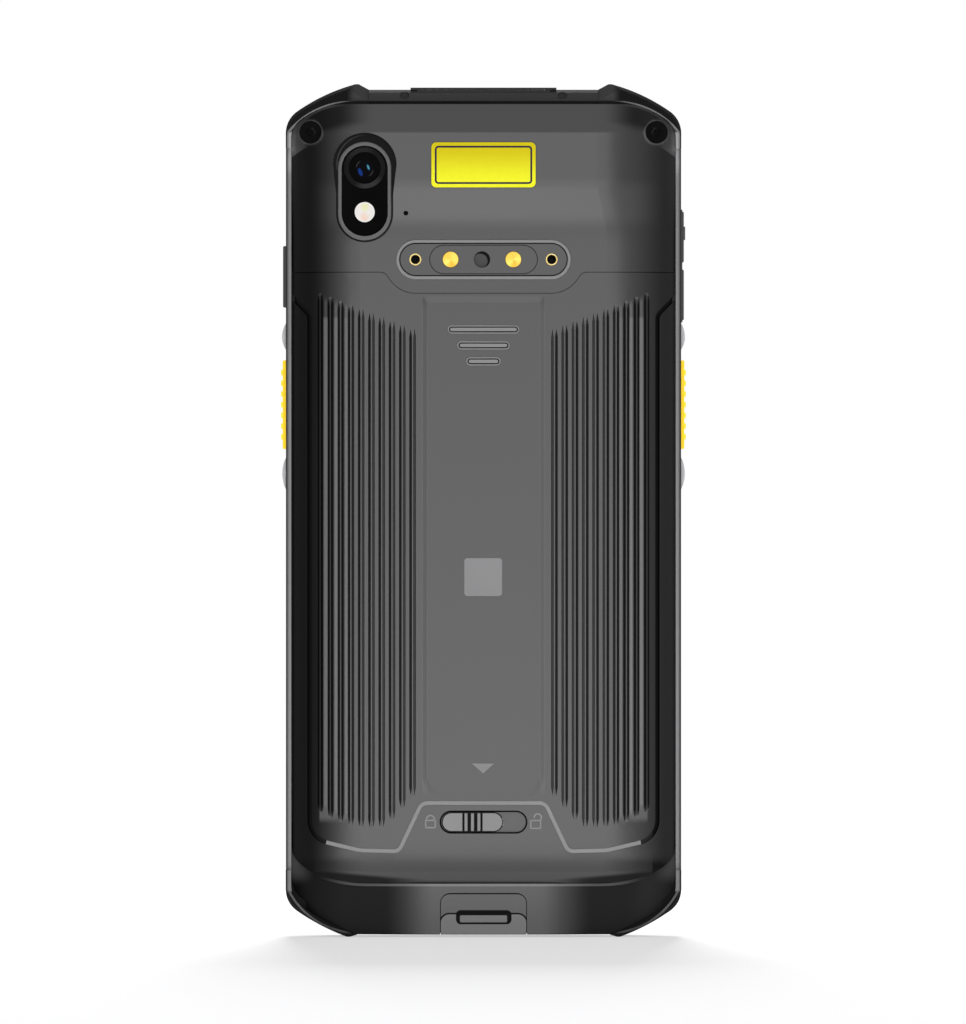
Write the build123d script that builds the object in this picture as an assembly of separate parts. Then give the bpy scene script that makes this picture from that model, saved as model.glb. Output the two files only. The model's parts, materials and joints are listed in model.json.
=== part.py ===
# Portable barcode data terminal, in millimetres.
# X runs across the terminal, Y through its thickness (the screen faces +Y, the battery cover -Y)
# and Z along its length, up to the scan window. The origin is on the surface that the terminal
# stands on, below the middle of its thickness.

import os
from math import cos, radians, sin

from build123d import *

os.makedirs("parts", exist_ok=True)

# driving dimensions
height = 166.0                 # lower corner tips to upper corner tips
half_width = 38.5              # without the side keys
front_y = 8.5                  # front of the frame
hump_y = -8.5                  # crown of the hump over the scan engine
cover_y = -6.6                 # flat of the battery cover
spring_y = 1.4                 # where the shell's quarter ellipses stand upright

shell_half_width = 37.4        # rear shell, inside the frame's rails
wall = 1.5                     # moulded walls
seam = 0.15                    # gap round the battery cover
fit = 0.05                     # gap between pieces that are screwed or glued together

rail_back_y = -2.1             # back edge of the frame's side rails
end_back_y = -4.5              # back edge of the bumpers and of the frame's top wall
parting_y = 1.6                # front edge of the rear housing

# plan outline, seen square to the screen
top_z = 164.9                  # frame's flat top
shell_top_z = 162.6            # rear shell's top
base_z = 0.5                   # flat bottom, just off the table
inner_base_z = 2.0             # bottom of what the frame's lower wall encloses
upper_tip_x = 24.9
lower_tip_x = 26.6
tip_land = 0.6                 # flat on each tip
corner_turn = 55.0             # degrees that the tight corner arc turns

# lengthwise places
cover_top_z = 129.4            # seam at the sides
cover_notch_z = 125.3          # seam below the contact plate
cover_foot_z = 10.4            # seam at the lower end
foot_arc_x = 22.9              # where the lower seam starts to rise to the sides
foot_arc_rise = 7.1
cover_wall = 1.4
cover_flat_half = 24.0         # flat crown of the cover
foot_bend_z = 18.4             # above this the cover runs straight
foot_bend_radius = 30.0
foot_bend_turn = 18.0          # degrees

hump_start_z = 137.0
hump_full_z = 146.5
hump_end_z = 156.3
hump_flat_half = 22.0
hump_start_radius = 25.0       # rounding along the crown, lower end of the hump first
hump_full_radius = 8.0
hump_end_radius = 1.5
shoulder_y = -4.7              # crown of the shell at its top end
shoulder_flat_half = 20.0

chin_crown_y = -6.4
chin_flat_half = 12.4          # beyond this the chin falls straight to its shoulders
chin_shoulder_x = 33.0
chin_fall = 3.6                # from the crown to the shoulders
chin_edge_y = -1.0

rib_pitch = 2.0
rib_count = 10
rib_groove = 1.3               # width of a groove at the surface
rib_groove_floor = 0.25        # width of its floor
rib_depth = 0.6
rib_end_run = 1.6              # length over which a groove runs out
rib_end_width = 0.7            # width that is left at its very end
first_groove_x = 31.8

pad_half_width = 11.8          # foot of the raised pad's sloped edges
pad_bottom_z = 27.1
pad_top_z = 124.6
pad_rise = 0.08
pad_corner = 4.1
pad_side_slope = 0.8           # width of the sloped edge at the sides
pad_end_slope = 1.1            # and at the two ends

line_points = [                # the decorative groove on the cover's right half, X and Z
    (37.8, 125.1),
    (33.85, 121.0),
    (33.85, 19.2),
    (24.0, 16.9),
    (16.46, 16.7),
    (12.0, 26.1),
    (0, 26.1),
]
line_corners = [2.0, 4.5, 8.0, 1.8, 2.0]
line_width = 0.84
line_depth = 0.35

latch_z = 22.4
latch_slot = (16.6, 4.0)
latch_recess = 0.85            # depth of the latch's slot

camera_x = -23.1
camera_z = 149.6
camera_pitch = 8.7             # lens to flash
island_size = (10.4, 19.2)     # the bezel round the camera's window
window_size = (8.94, 17.54)
lens_ring_radius = 4.0
lens_radius = 3.1
flash_radius = 1.94
scoop_radius = 6.2             # hollow in the hump round the bezel's upper end

label_z = 150.15
label_size = (20.4, 8.9)
label_rise = 0.2

contact_z = 131.8
contact_pitch = 12.2
contact_rim = (34.0, 7.7)
contact_field = (32.9, 6.6)
contact_carrier = (20.8, 5.4)
contact_depth = 0.95
pad_radius = 1.54              # gold contact pads
insert_pitch = 26.5
insert_hole_radius = 0.8
insert_radius = 1.14
dimple_radius = 1.6

screw_x = 33.7
screw_z = 156.6
screw_head_radius = 2.1
screw_shank_radius = 0.8
screw_shank_length = 6.5
screw_pad_radius = 2.8         # flat round each visible screw

key_low_y = 2.3
key_high_y = 5.3
key_flange_x = 36.75           # inner face of a key's flange
key_rail_x = 37.3              # inner face of the frame's side wall
ridge_pitch = 2.09             # grip ridges of the scan keys
ridge_count = 7

bay_half_width = 27.2
bay_low_z = 27.0
bay_high_z = 122.0
bay_floor_y = 0.5
bay_floor = 0.8
bay_corner = 3.0

past = 20.0                    # cutters reach this far through the thickness on either side
wide = 50.0                    # and this far to either side

written = []


def save(name, shape):
    """Write one sub-part."""
    export_step(shape, f"parts/{name}.step")
    written.append(name)


def prism(face, low_y, high_y):
    """A face drawn in X and Z, carried through the thickness from low_y to high_y."""
    return extrude(Plane.XZ.offset(-high_y) * face, amount=high_y - low_y)


def block(low_x, high_x, low_y, high_y, low_z, high_z):
    """A plain block between two corners."""
    size = (high_x - low_x, high_y - low_y, high_z - low_z)
    return Pos(low_x, low_y, low_z) * Box(*size, align=Align.MIN)


def rod(x, z, radius, low_y, high_y):
    """A round rod along the thickness."""
    return prism(Pos(x, z) * Circle(radius), low_y, high_y)


def both_sides(shape):
    """A shape and its mirror image across the middle of the width."""
    return shape + mirror(shape, Plane.YZ)


def mirrored_face(half):
    """The face between a run of edges on the right, from Z axis to Z axis, and its mirror image."""
    return make_face(half + mirror(half, Plane.YZ))


# outlines
def corner_arcs(half, tip_x, tip_z, radius, last_turn, way):
    """Two tangent arcs from an upright side to a corner tip; way is 1 upwards and -1 downwards."""
    first = radians(corner_turn)
    last = radians(corner_turn + last_turn)
    run = half - radius * (1 - cos(first)) - tip_x
    sweep_radius = run / (cos(first) - cos(last))
    rise = radius * sin(first) + sweep_radius * (sin(last) - sin(first))
    tight = JernArc((half, tip_z - way * rise), (0, way), radius, way * corner_turn)
    wide = JernArc(tight @ 1, tight % 1, sweep_radius, way * last_turn)
    return tight, wide


def frame_outline(inset=0.0):
    """The whole terminal in plan: upright sides, curved corners, four tips and flat ends."""
    half = half_width - inset
    upper = corner_arcs(half, upper_tip_x, height - inset, 5.2 - inset, past, 1)
    lower = corner_arcs(half, lower_tip_x, inset, 5.0 - inset, 15, -1)
    upper_land = upper[1] @ 1 - (tip_land, 0)
    lower_land = lower[1] @ 1 - (tip_land, 0)
    top = top_z - inset
    bottom = base_z + inset
    half_run = Curve() + [
        Line((0, top), (upper_tip_x - 2.6, top)),
        Line((upper_tip_x - 2.6, top), upper_land),
        Line(upper_land, upper[1] @ 1),
        *upper,
        Line(upper[0] @ 0, lower[0] @ 0),
        *lower,
        Line(lower[1] @ 1, lower_land),
        Line(lower_land, (lower_tip_x - 2.2, bottom)),
        Line((lower_tip_x - 2.2, bottom), (0, bottom)),
    ]
    return mirrored_face(half_run)


def shell_outline(bottom, grow=0.0):
    """The rear shell in plan: its top corners run tangent into its flat top."""
    half = shell_half_width + grow
    upper = corner_arcs(half, upper_tip_x - 0.5, shell_top_z + grow, 4.5 + grow, 35, 1)
    lower = corner_arcs(half, upper_tip_x, bottom - grow, 5.0 + grow, 15, -1)
    half_run = Curve() + [
        Line((0, shell_top_z + grow), upper[1] @ 1),
        *upper,
        Line(upper[0] @ 0, lower[0] @ 0),
        *lower,
        Line(lower[1] @ 1, (0, bottom - grow)),
    ]
    return mirrored_face(half_run)


def cover_outline(gap):
    """The battery cover in plan: a notched top edge and a lower edge that rises to the sides."""
    half = half_width + 1
    top = FilletPolyline(
        (0, cover_notch_z - gap),
        (16.3 + gap / 2, cover_notch_z - gap),
        (19.2 + gap / 2, cover_top_z - gap),
        (half, cover_top_z - gap),
        radius=[6.0, 1.5],
    )
    foot_reach = shell_half_width - foot_arc_x
    foot = EllipticalCenterArc(
        (foot_arc_x, cover_foot_z + foot_arc_rise),
        foot_reach,
        foot_arc_rise - gap,
        270,
        arc_size=90,
    )
    half_run = Curve() + [
        top,
        Line(top @ 1, (half, (foot @ 1).Y)),
        Line((half, (foot @ 1).Y), foot @ 1),
        foot,
        Line(foot @ 0, (0, cover_foot_z + gap)),
    ]
    return mirrored_face(half_run)


# the shell's form
def section(z, crown_y, flat_half, inset=0.0):
    """Cross-section at height z: a flat crown that falls to each side in a quarter ellipse."""
    crown = crown_y + inset
    side = half_width - inset
    right = EllipticalCenterArc(
        (flat_half, spring_y), side - flat_half, spring_y - crown, 270, arc_size=90
    )
    left = mirror(right, Plane.YZ)
    front = spring_y + 4
    outline = Curve() + [
        right,
        left,
        Line((-flat_half, crown), (flat_half, crown)),
        Line((side, spring_y), (side, front)),
        Line((side, front), (-side, front)),
        Line((-side, front), (-side, spring_y)),
    ]
    return Pos(0, 0, z) * make_face(outline)


def crown_line():
    """The crown seen from the side, Y against Z: flat over the battery, the hump, its slope."""
    return FilletPolyline(
        (-1, cover_y),
        (hump_start_z, cover_y),
        (hump_full_z, hump_y),
        (hump_end_z, hump_y),
        (shell_top_z + 1, shoulder_y),
        radius=[hump_start_radius, hump_full_radius, hump_end_radius],
    )


def crown_flat_half(place):
    """Half the width of the flat crown at a place on the crown line."""
    if place.X < hump_end_z:
        share = (place.Y - cover_y) / (hump_y - cover_y)
        return cover_flat_half + share * (hump_flat_half - cover_flat_half)
    share = (place.Y - hump_y) / (shoulder_y - hump_y)
    return hump_flat_half + share * (shoulder_flat_half - hump_flat_half)


def shell_form(inset=0.0):
    """The back of the terminal as one form, carried through the sections along its crown line."""
    form = Part()
    for run in crown_line().edges():
        steps = 1 if run.geom_type == GeomType.LINE else 4
        places = [run @ (step / steps) for step in range(steps + 1)]
        cuts = [section(place.X, place.Y, crown_flat_half(place), inset) for place in places]
        form += loft(cuts, ruled=steps == 1)
    return form


def cover_form(inset=0.0):
    """The same back, rounded down towards the chin at its lower end."""
    bend = JernArc((foot_bend_z, cover_y), (-1, 0), foot_bend_radius, -foot_bend_turn)
    fall = (bend @ 1).Y - cover_y
    cuts = []
    for step in range(5):
        place = bend @ (step / 4)
        narrowing = (cover_flat_half - foot_arc_x) * (place.Y - cover_y) / fall
        cuts.append(section(place.X, place.Y, cover_flat_half - narrowing, inset))
    top = section(hump_start_z, cover_y, cover_flat_half, inset)
    return loft(cuts) + loft([cuts[0], top], ruled=True)


def chin_section(z, crown_y, inset):
    """Cross-section of the chin: a flat crown, a straight fall to the shoulders, a round edge."""
    crown = crown_y + inset
    side = half_width - inset
    front = spring_y + 4
    right = FilletPolyline(
        (0, crown),
        (chin_flat_half, crown),
        (chin_shoulder_x, crown + chin_fall),
        (side, chin_edge_y + inset),
        (side, front),
        (0, front),
        radius=[26, 12, 2, 0.1],
    )
    return Pos(0, 0, z) * mirrored_face(right)


def chin_form(inset=0.0):
    """The lower end of the housing: it falls away to both sides sooner than the cover does."""
    low = chin_section(-1, chin_crown_y + 0.3, inset)
    high = chin_section(cover_foot_z + foot_arc_rise + 8, chin_crown_y - 0.3, inset)
    return loft([low, high], ruled=True)


def frame_block(back_y):
    """The whole plan outline as a block with bevelled back and front edges."""
    back_bevel = 0.9
    front_bevel = 1.2
    outline = frame_outline()
    back = loft(
        [
            Plane.XZ.offset(-back_y) * frame_outline(0.6),
            Plane.XZ.offset(-back_y - back_bevel) * outline,
        ],
        ruled=True,
    )
    front = loft(
        [
            Plane.XZ.offset(front_bevel - front_y) * outline,
            Plane.XZ.offset(-front_y) * frame_outline(0.8),
        ],
        ruled=True,
    )
    return prism(outline, back_y + back_bevel, front_y - front_bevel) + back + front


def stadium(x, z, width, tall):
    """A slot shape with its long side across, or upright where it is taller than wide."""
    if width >= tall:
        return Pos(x, z) * SlotOverall(width, tall)
    return Pos(x, z) * SlotOverall(tall, width, 90)


# rear housing
visible_screws = [(-screw_x, screw_z), (screw_x, screw_z)]
hidden_screws = [(-31.4, 29.0), (31.4, 29.0), (-31.4, 119.0), (31.4, 119.0)]
visible_head_y = -3.4          # front side of the screw heads
hidden_head_y = -1.8
screw_head_tall = 1.1
pegs = [(-30.5, 42.0), (30.5, 42.0), (-30.5, 104.0), (30.5, 104.0)]
peg_radius = 0.9
seal_low_y = -4.0
flap_half_width = 8.35
flap_seam_z = 4.65
flap_top_z = 8.5
flap_corner = 1.8
grip_half_width = 5.35         # the slot that a fingernail finds, across the seam
grip_low_z = 2.6
grip_high_z = 5.25
flap_back_y = -6.35
flap_front_y = 3.2
flap_plate = 1.0
port_y = 0.6
contact_shift = -0.3           # the pads and their dimple sit a little off the middle
island_z = 145.1
window_y = -7.45
microphone = (-15.1, 140.8)


def bay_outline(grow=0.0):
    """The battery bay in plan."""
    tall = bay_high_z - bay_low_z
    middle = (bay_high_z + bay_low_z) / 2
    width = 2 * bay_half_width + 2 * grow
    return Pos(0, middle) * RectangleRounded(width, tall + 2 * grow, bay_corner + grow)


def flap_recess(gap):
    """The space that the port's flap and its anchor fill, with a gap round them."""
    half = flap_half_width + gap
    face = Pos(0, (flap_top_z + gap) / 2) * RectangleRounded(2 * half, flap_top_z + gap, 2.0)
    square_foot = Pos(0, 2) * Rectangle(2 * half, 4)
    back = prism(face + square_foot, flap_back_y - 4, flap_back_y + flap_plate + gap)
    under = block(-half, half, flap_back_y - 4, flap_front_y + gap, -1, base_z + flap_plate + gap)
    return back + under


def label_face(grow=0.0):
    """The label in plan."""
    width, tall = label_size
    return Pos(0, label_z) * RectangleRounded(width + 2 * grow, tall + 2 * grow, 1 + grow)


def rear_housing():
    """One moulding: the hump, the battery bay with its rim, and the chin."""
    back = prism(shell_outline(base_z), hump_y - 1, rail_back_y - fit)
    inner = prism(shell_outline(inner_base_z), rail_back_y - fit, parting_y)
    blank = back + inner
    split_z = cover_foot_z + foot_arc_rise + 5
    above = block(-wide, wide, -past, past, split_z, 200)
    below = block(-wide, wide, -past, past, -5, split_z)
    seat = cover_form(cover_wall + seam)
    under_cover = prism(cover_outline(0), -past, past)
    body = (blank & shell_form() & above) + (blank & (chin_form() + (seat & under_cover)) & below)
    body -= prism(cover_outline(0), -past, -1.8) - seat

    hollow = prism(shell_outline(inner_base_z, -wall), -past, parting_y + 1) & shell_form(wall)
    upper_hollow = hollow & block(-wide, wide, -past, past, 123, 200)
    upper_hollow -= prism(cover_outline(-wall), -past, past)
    deep = cover_form(cover_wall + seam + wall) & block(-wide, wide, -past, past, 9.5, 25.4)
    deep += block(-wide, wide, -2.0, past, inner_base_z + wall, 9.6)
    lower_hollow = hollow & deep & chin_form(wall)
    body -= upper_hollow + lower_hollow
    body -= prism(bay_outline(), -past, bay_floor_y)
    body -= block(-12, 12, -past, -4.2, 19.4, 25.2)            # pocket for the latch's tongue
    body -= block(-33, 33, bay_floor_y + bay_floor, past, 26, 122)

    groove = prism(bay_outline(1.9) - bay_outline(0.7), -past, seal_low_y)
    body -= groove
    for x, z in pegs:
        body -= rod(x, z, peg_radius + 0.15, -past, -1.9)
    for x, z in visible_screws:
        pad_y = visible_head_y - screw_head_tall - 0.15
        body += rod(x, z, screw_pad_radius + 1.1, pad_y, pad_y + wall) & blank & shell_form(0.2)
        body -= rod(x, z, screw_pad_radius, -past, pad_y)
        body -= rod(x, z, screw_head_radius + 0.08, -past, visible_head_y)
        body += rod(x, z, 2.4, visible_head_y, parting_y)
        body -= rod(x, z, screw_shank_radius + fit, -past, past)
    for x, z in hidden_screws:
        body -= rod(x, z, screw_head_radius + 0.08, -past, hidden_head_y)
        body -= rod(x, z, screw_shank_radius + fit, -past, past)

    scoop_z = camera_z + 0.6
    scoop_y = window_y + 0.35
    scoop = rod(camera_x, scoop_z, scoop_radius, -past, scoop_y)
    taper = Polygon(
        (camera_x - 5.0, 140),
        (camera_x + 5.0, 140),
        (camera_x + scoop_radius - 0.02, scoop_z),
        (camera_x - scoop_radius + 0.02, scoop_z),
        align=None,
    )
    body -= scoop + prism(taper, -past, scoop_y)
    island_width, island_tall = island_size
    body -= prism(stadium(camera_x, island_z, island_width + 0.1, island_tall + 0.1), -past, -4)
    body -= rod(*microphone, 0.46, -past, 0)

    rim_width, rim_tall = contact_rim
    body -= prism(stadium(0, contact_z, rim_width + 0.1, rim_tall + 0.1), -past, cover_y + 1.0)
    for side in (-1, 1):
        insert_x = side * insert_pitch / 2
        body += rod(insert_x, contact_z, 2.3, cover_y + 1.0, -3.0)
        body -= rod(insert_x, contact_z, insert_radius + 0.02, -past, -3.85)
        pad_x = contact_shift + side * contact_pitch / 2
        body -= rod(pad_x, contact_z, pad_radius + 0.06, -past, 0)
    top_gap_half = upper_tip_x - 2.6
    body -= block(-top_gap_half, top_gap_half, -past, end_back_y + 0.8, shell_top_z - 0.55, 170)
    body -= prism(label_face(fit), -past, hump_y + label_rise + 0.02)

    body -= block(-12.2, 12.2, -3.45, 1.05, 158, 170)        # the scan engine's way out
    body -= flap_recess(0.1)
    body -= block(-4.8, 4.8, port_y - 1.8, past, -1, inner_base_z + wall + 0.1)
    body -= block(-6.05, 6.05, -3.25, 0.25, 121, 128)        # slot for the battery contacts
    return body


# front frame and bumpers
key_places = {                 # side, low z, high z
    "power": (-1, 122.6, 134.6),
    "volume_up": (1, 131.4, 141.3),
    "volume_down": (1, 120.1, 130.0),
    "scan_left": (-1, 95.0, 112.3),
    "scan_right": (1, 95.0, 112.3),
}


def scan_window_opening(grow, low_z, high_z):
    """The rectangular way through the top wall for the scan window."""
    return block(-12.2 - grow, 12.2 + grow, -3.4 - grow, 1.0 + grow, low_z, high_z)


def bumper_zone(upper, side, gap):
    """The corner of the plan that one bumper fills."""
    if upper:
        low_x, low_z, high_z = upper_tip_x - 2.6, 153.5, 170
    else:
        low_x, low_z, high_z = lower_tip_x - 2.2, -5, 13.0
    low_z = low_z - gap if upper else low_z
    high_z = high_z if upper else high_z + gap
    zone = block(low_x - gap, 45, -past, past, low_z, high_z)
    return zone if side > 0 else mirror(zone, Plane.YZ)


def tip_facet():
    """Cuts a sloping facet on the back of a right upper tip, along its inner flank."""
    width = 1.9
    depth = 1.2
    flank = radians(117.4)
    outward = Vector(cos(flank), 0, sin(flank))
    normal = outward * depth + Vector(0, -width, 0)
    edge = Plane(origin=(24.7, end_back_y + depth, 166.1), x_dir=(sin(flank), 0, -cos(flank)), z_dir=normal)
    return edge * Box(14, 14, 6, align=(Align.CENTER, Align.CENTER, Align.MIN))


def bumper(upper, side):
    """A corner bumper: a skin over the frame's corner that also wraps the shell's corner."""
    skin = frame_block(end_back_y) - prism(shell_outline(base_z, fit), -past, past)
    skin -= prism(frame_outline(0.6), rail_back_y, past)
    skin -= block(-wide, wide, front_y - 1.3, past, -5, 170)
    if upper:
        skin -= tip_facet() if side > 0 else mirror(tip_facet(), Plane.YZ)
    return skin & bumper_zone(upper, side, 0)


def front_frame():
    """The ring round the screen, with side rails, a deep top wall and slots for the keys."""
    ring = frame_block(rail_back_y)
    deep_top = block(2.6 - upper_tip_x, upper_tip_x - 2.6, -past, 0, shell_top_z - 2, 170)
    ring += frame_block(end_back_y) & deep_top
    ring -= prism(shell_outline(inner_base_z, fit), -past, 5.9)
    ring -= prism(Pos(0, 82) * RectangleRounded(68.8, 152, 3), 0, past)
    ring -= prism(glass_outline(0.1), 7.3, past)
    for upper in (True, False):
        for side in (-1, 1):
            corner = frame_block(end_back_y) - prism(frame_outline(0.6), rail_back_y, past)
            corner = corner & bumper_zone(upper, side, 0.02)
            ring -= corner - block(-wide, wide, front_y - 1.28, past, -5, 170)
    for side, low_z, high_z in key_places.values():
        slot = block(30, 50, key_low_y - 0.1, key_high_y + 0.1, low_z - 0.1, high_z + 0.1)
        ring -= slot if side > 0 else mirror(slot, Plane.YZ)
    for side in (-1, 1):
        ring -= prism(stadium(15.35 * side, 163.75, 1.75, 1.35), -past, end_back_y + 0.9)
    ring -= scan_window_opening(0, 160, 170)
    ring -= scan_window_opening(0.9, 164.0, 170)
    ring -= flap_recess(0.1)
    ring -= block(-4.8, 4.8, port_y - 1.8, port_y + 1.8, -1, inner_base_z + 1)
    return ring


def glass_outline(grow=0.0):
    """The cover glass in plan."""
    return Pos(0, 82.3) * RectangleRounded(73.4 + 2 * grow, 156.4 + 2 * grow, 6 + grow)


# battery cover
def surface_drop(x):
    """How far the cover has fallen towards the screen at a distance x from the middle."""
    reach = half_width - 24
    share = max(0.0, x - 24) / reach
    return (spring_y - cover_y) * (1 - (1 - share**2) ** 0.5)


def groove_ends(x):
    """Low and high end of the rib groove at a distance x from the middle."""
    bowl = 21.4 + 0.03 * (x - 21.8) ** 2
    ramp = 25.3 + 1.15 * (15.8 - x)
    return max(bowl, ramp), 125.3 - 0.389 * (first_groove_x - x)


def groove_section(x, z, depth, floor_half):
    """Cross-section of a groove's cutter, whose walls keep one slope whatever its depth."""
    surface_y = cover_y + surface_drop(x)
    slope = (rib_groove - rib_groove_floor) / 2 / rib_depth
    over = 1.2
    top_half = floor_half + slope * (depth + over)
    return Pos(0, 0, z) * Polygon(
        (x - floor_half, surface_y + depth),
        (x + floor_half, surface_y + depth),
        (x + top_half, surface_y - over),
        (x - top_half, surface_y - over),
        align=None,
    )


def groove_cutter(x, low_z, high_z):
    """One groove, which rises to the surface and narrows at both ends."""
    low_end = groove_section(x, low_z, 0.02, rib_end_width / 2)
    low = groove_section(x, low_z + rib_end_run, rib_depth, rib_groove_floor / 2)
    high = groove_section(x, high_z - rib_end_run, rib_depth, rib_groove_floor / 2)
    high_end = groove_section(x, high_z, 0.02, rib_end_width / 2)
    return loft([low_end, low, high, high_end], ruled=True)


def step_section(x, z, share):
    """Cross-section of an outer rib, standing square to the back as far as share says."""
    inner_x = x - rib_pitch + rib_groove / 2
    outer_x = x - rib_groove / 2
    crest_y = cover_y + surface_drop(inner_x)
    rise = surface_drop(outer_x) - surface_drop(inner_x)
    low_y = crest_y + rise * (1 - share)
    return Pos(0, 0, z) * Polygon(
        (inner_x, crest_y + 0.6),
        (inner_x, crest_y),
        (outer_x - 0.2, low_y),
        (outer_x, low_y + 0.2),
        (outer_x, crest_y + rise + 0.5),
        align=None,
    )


def rib_field(cover):
    """Cuts the tapering grooves and lets each outer rib stand square to the back, like a step."""
    grooves = Part()
    steps = Part()
    for number in range(rib_count):
        x = first_groove_x - rib_pitch * number
        low_z, high_z = groove_ends(x)
        grooves += groove_cutter(x, low_z, high_z)
        if x - rib_groove / 2 > cover_flat_half + 1:
            ends = [low_z, low_z + rib_end_run, high_z - rib_end_run, high_z]
            cuts = [step_section(x, z, share) for z, share in zip(ends, (0, 1, 1, 0))]
            steps += loft(cuts, ruled=True)
    return cover - both_sides(grooves) + both_sides(steps)


def pad_outline(side_inset, end_inset):
    """The raised pad in plan, with round lower corners."""
    tall = pad_top_z - pad_bottom_z - 2 * end_inset
    face = Pos(0, pad_bottom_z + end_inset) * Rectangle(
        2 * (pad_half_width - side_inset), tall, align=(Align.CENTER, Align.MIN)
    )
    return fillet(face.vertices().group_by(Axis.Y)[0], pad_corner - side_inset)


def battery_cover():
    """A curved plate over the battery, with ribs, a raised pad, a groove and the latch's recess."""
    plate = cover_form() - cover_form(cover_wall)
    plate = plate & prism(cover_outline(seam), -past, -1.9)
    plate = plate & prism(shell_outline(base_z, -fit), -past, 0)
    plate = rib_field(plate)

    pad_foot = Plane.XZ.offset(-cover_y) * pad_outline(0, 0)
    pad_top = Plane.XZ.offset(pad_rise - cover_y) * pad_outline(pad_side_slope, pad_end_slope)
    plate += loft([pad_foot, pad_top], ruled=True)
    for x_half, z in ((7.0, 118.2), (5.15, 115.1), (3.4, 112.0)):
        plate -= prism(stadium(0, z, 2 * x_half, 1.7), -past, cover_y - pad_rise + 0.3)

    path = FilletPolyline(*line_points, radius=line_corners)
    line = prism(trace(path, line_width), -past, 0)
    plate -= both_sides(line) - cover_form(line_depth)

    plate -= prism(stadium(0, latch_z, *latch_slot), -past, cover_y + latch_recess)
    plate -= block(-3.75, 3.85, -past, 0, latch_z - 0.75, latch_z + 0.75)
    for x, z in pegs:
        top_y = cover_y + surface_drop(abs(x)) + cover_wall - 0.3
        plate += rod(x, z, peg_radius, top_y, -2.1)
    return plate


# latch
slider_x = -2.15
slider_width = 11.9
grip_pitch = 1.25              # ridges on the slider
grip_width = 0.5


def latch_slider():
    """The thumb slider with three ridges and the stem that passes through the cover."""
    body = prism(stadium(slider_x, latch_z, slider_width, 3.8), cover_y - 0.1, cover_y + 0.8)
    for number in range(3):
        x = slider_x + grip_pitch * (number - 1)
        low_x = x - grip_width / 2
        body += block(low_x, low_x + grip_width, cover_y - 0.35, cover_y, latch_z - 1.7, latch_z + 1.7)
    stem = block(slider_x - 1.5, slider_x + 1.5, cover_y + 0.7, -5.1, latch_z - 0.65, latch_z + 0.65)
    return body + stem


def latch_tongue():
    """The bolt inside the cover that the slider's stem carries."""
    bolt = block(-9.0, 4.5, -5.1, -4.4, latch_z - 2.0, latch_z + 2.0)
    return bolt - block(2.2, 3.4, -6, -4, latch_z - 1.2, latch_z + 1.2)


def latch_detent():
    """The leaf spring on the cover that holds the latch at either end."""
    leaf = block(-9, 9, -5.2, -5.0, latch_z - 2.7, latch_z - 2.2)
    return leaf + block(5.2, 6.2, -5.0, -4.7, latch_z - 2.7, latch_z - 2.2)


# camera and contact plate
def camera_parts():
    """The bezel round the black window, and what stands in the window's two holes."""
    rim = stadium(camera_x, island_z, *island_size)
    window_width, window_tall = window_size
    field = stadium(camera_x, island_z, window_width + 0.06, window_tall + 0.06)
    bezel = prism(rim, window_y - 0.35, window_y + 1.5)
    bezel = fillet(bezel.faces().sort_by(Axis.Y)[0].edges(), 0.3)
    bezel -= prism(field, -past, window_y + 0.9)
    bezel -= prism(stadium(camera_x, island_z, 7.6, 16.2), -past, 0)
    save("camera_bezel", bezel)

    flash_z = camera_z + 0.1 - camera_pitch
    window = prism(stadium(camera_x, island_z, *window_size), window_y, window_y + 0.85)
    window -= rod(camera_x, camera_z, lens_ring_radius + 0.03, -past, 0)
    window -= rod(camera_x, flash_z, flash_radius + 0.03, -past, 0)
    save("camera_window", window)
    ring = rod(camera_x, camera_z, lens_ring_radius, window_y - 0.1, window_y + 0.85)
    save("camera_lens_ring", ring - rod(camera_x, camera_z, lens_radius, -past, 0))
    save("camera_lens", rod(camera_x, camera_z, lens_radius - 0.02, window_y + 0.15, window_y + 0.55))
    save("flash_lens", rod(camera_x, flash_z, flash_radius, window_y - 0.02, window_y + 0.8))
    barrel = rod(camera_x, camera_z, 2.6, window_y + 0.65, window_y + 1.6)
    module = Pos(camera_x, window_y + 1.6, camera_z) * Box(
        8.4, 1.4 - window_y - 1.6, 8.4, align=(Align.CENTER, Align.MIN, Align.CENTER)
    )
    save("camera_module", barrel + module)


def contact_parts():
    """The accessory plate: a raised rim, a carrier with two pads, and two threaded inserts."""
    back_y = cover_y + contact_depth
    rim = stadium(0, contact_z, *contact_rim)
    field = stadium(0, contact_z, *contact_field)
    carrier_width, carrier_tall = contact_carrier
    plate = prism(rim, cover_y - 0.2, back_y)
    plate = chamfer(plate.faces().sort_by(Axis.Y)[0].edges(), 0.12)
    plate -= prism(field, -past, cover_y + 0.05)
    plate -= prism(stadium(0, contact_z, carrier_width + 0.1, carrier_tall + 0.1), -past, 0)
    carrier = prism(stadium(0, contact_z, *contact_carrier), cover_y, back_y)
    carrier -= rod(contact_shift, contact_z, dimple_radius, -past, cover_y + 0.7)
    pads = Part()
    inserts = Part()
    for side in (-1, 1):
        pad_x = contact_shift + side * contact_pitch / 2
        carrier -= rod(pad_x, contact_z, pad_radius + 0.04, -past, 0)
        pads += rod(pad_x, contact_z, pad_radius, cover_y - 0.12, cover_y + 1.9)
        insert_x = side * insert_pitch / 2
        plate -= rod(insert_x, contact_z, insert_radius + 0.02, -past, 0)
        inserts += rod(insert_x, contact_z, insert_radius, cover_y - 0.03, -3.9)
        inserts -= rod(insert_x, contact_z, insert_hole_radius, -past, -4.3)
    save("contact_plate", plate)
    save("contact_carrier", carrier)
    save("contact_pads", pads)
    save("threaded_inserts", inserts)


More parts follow.
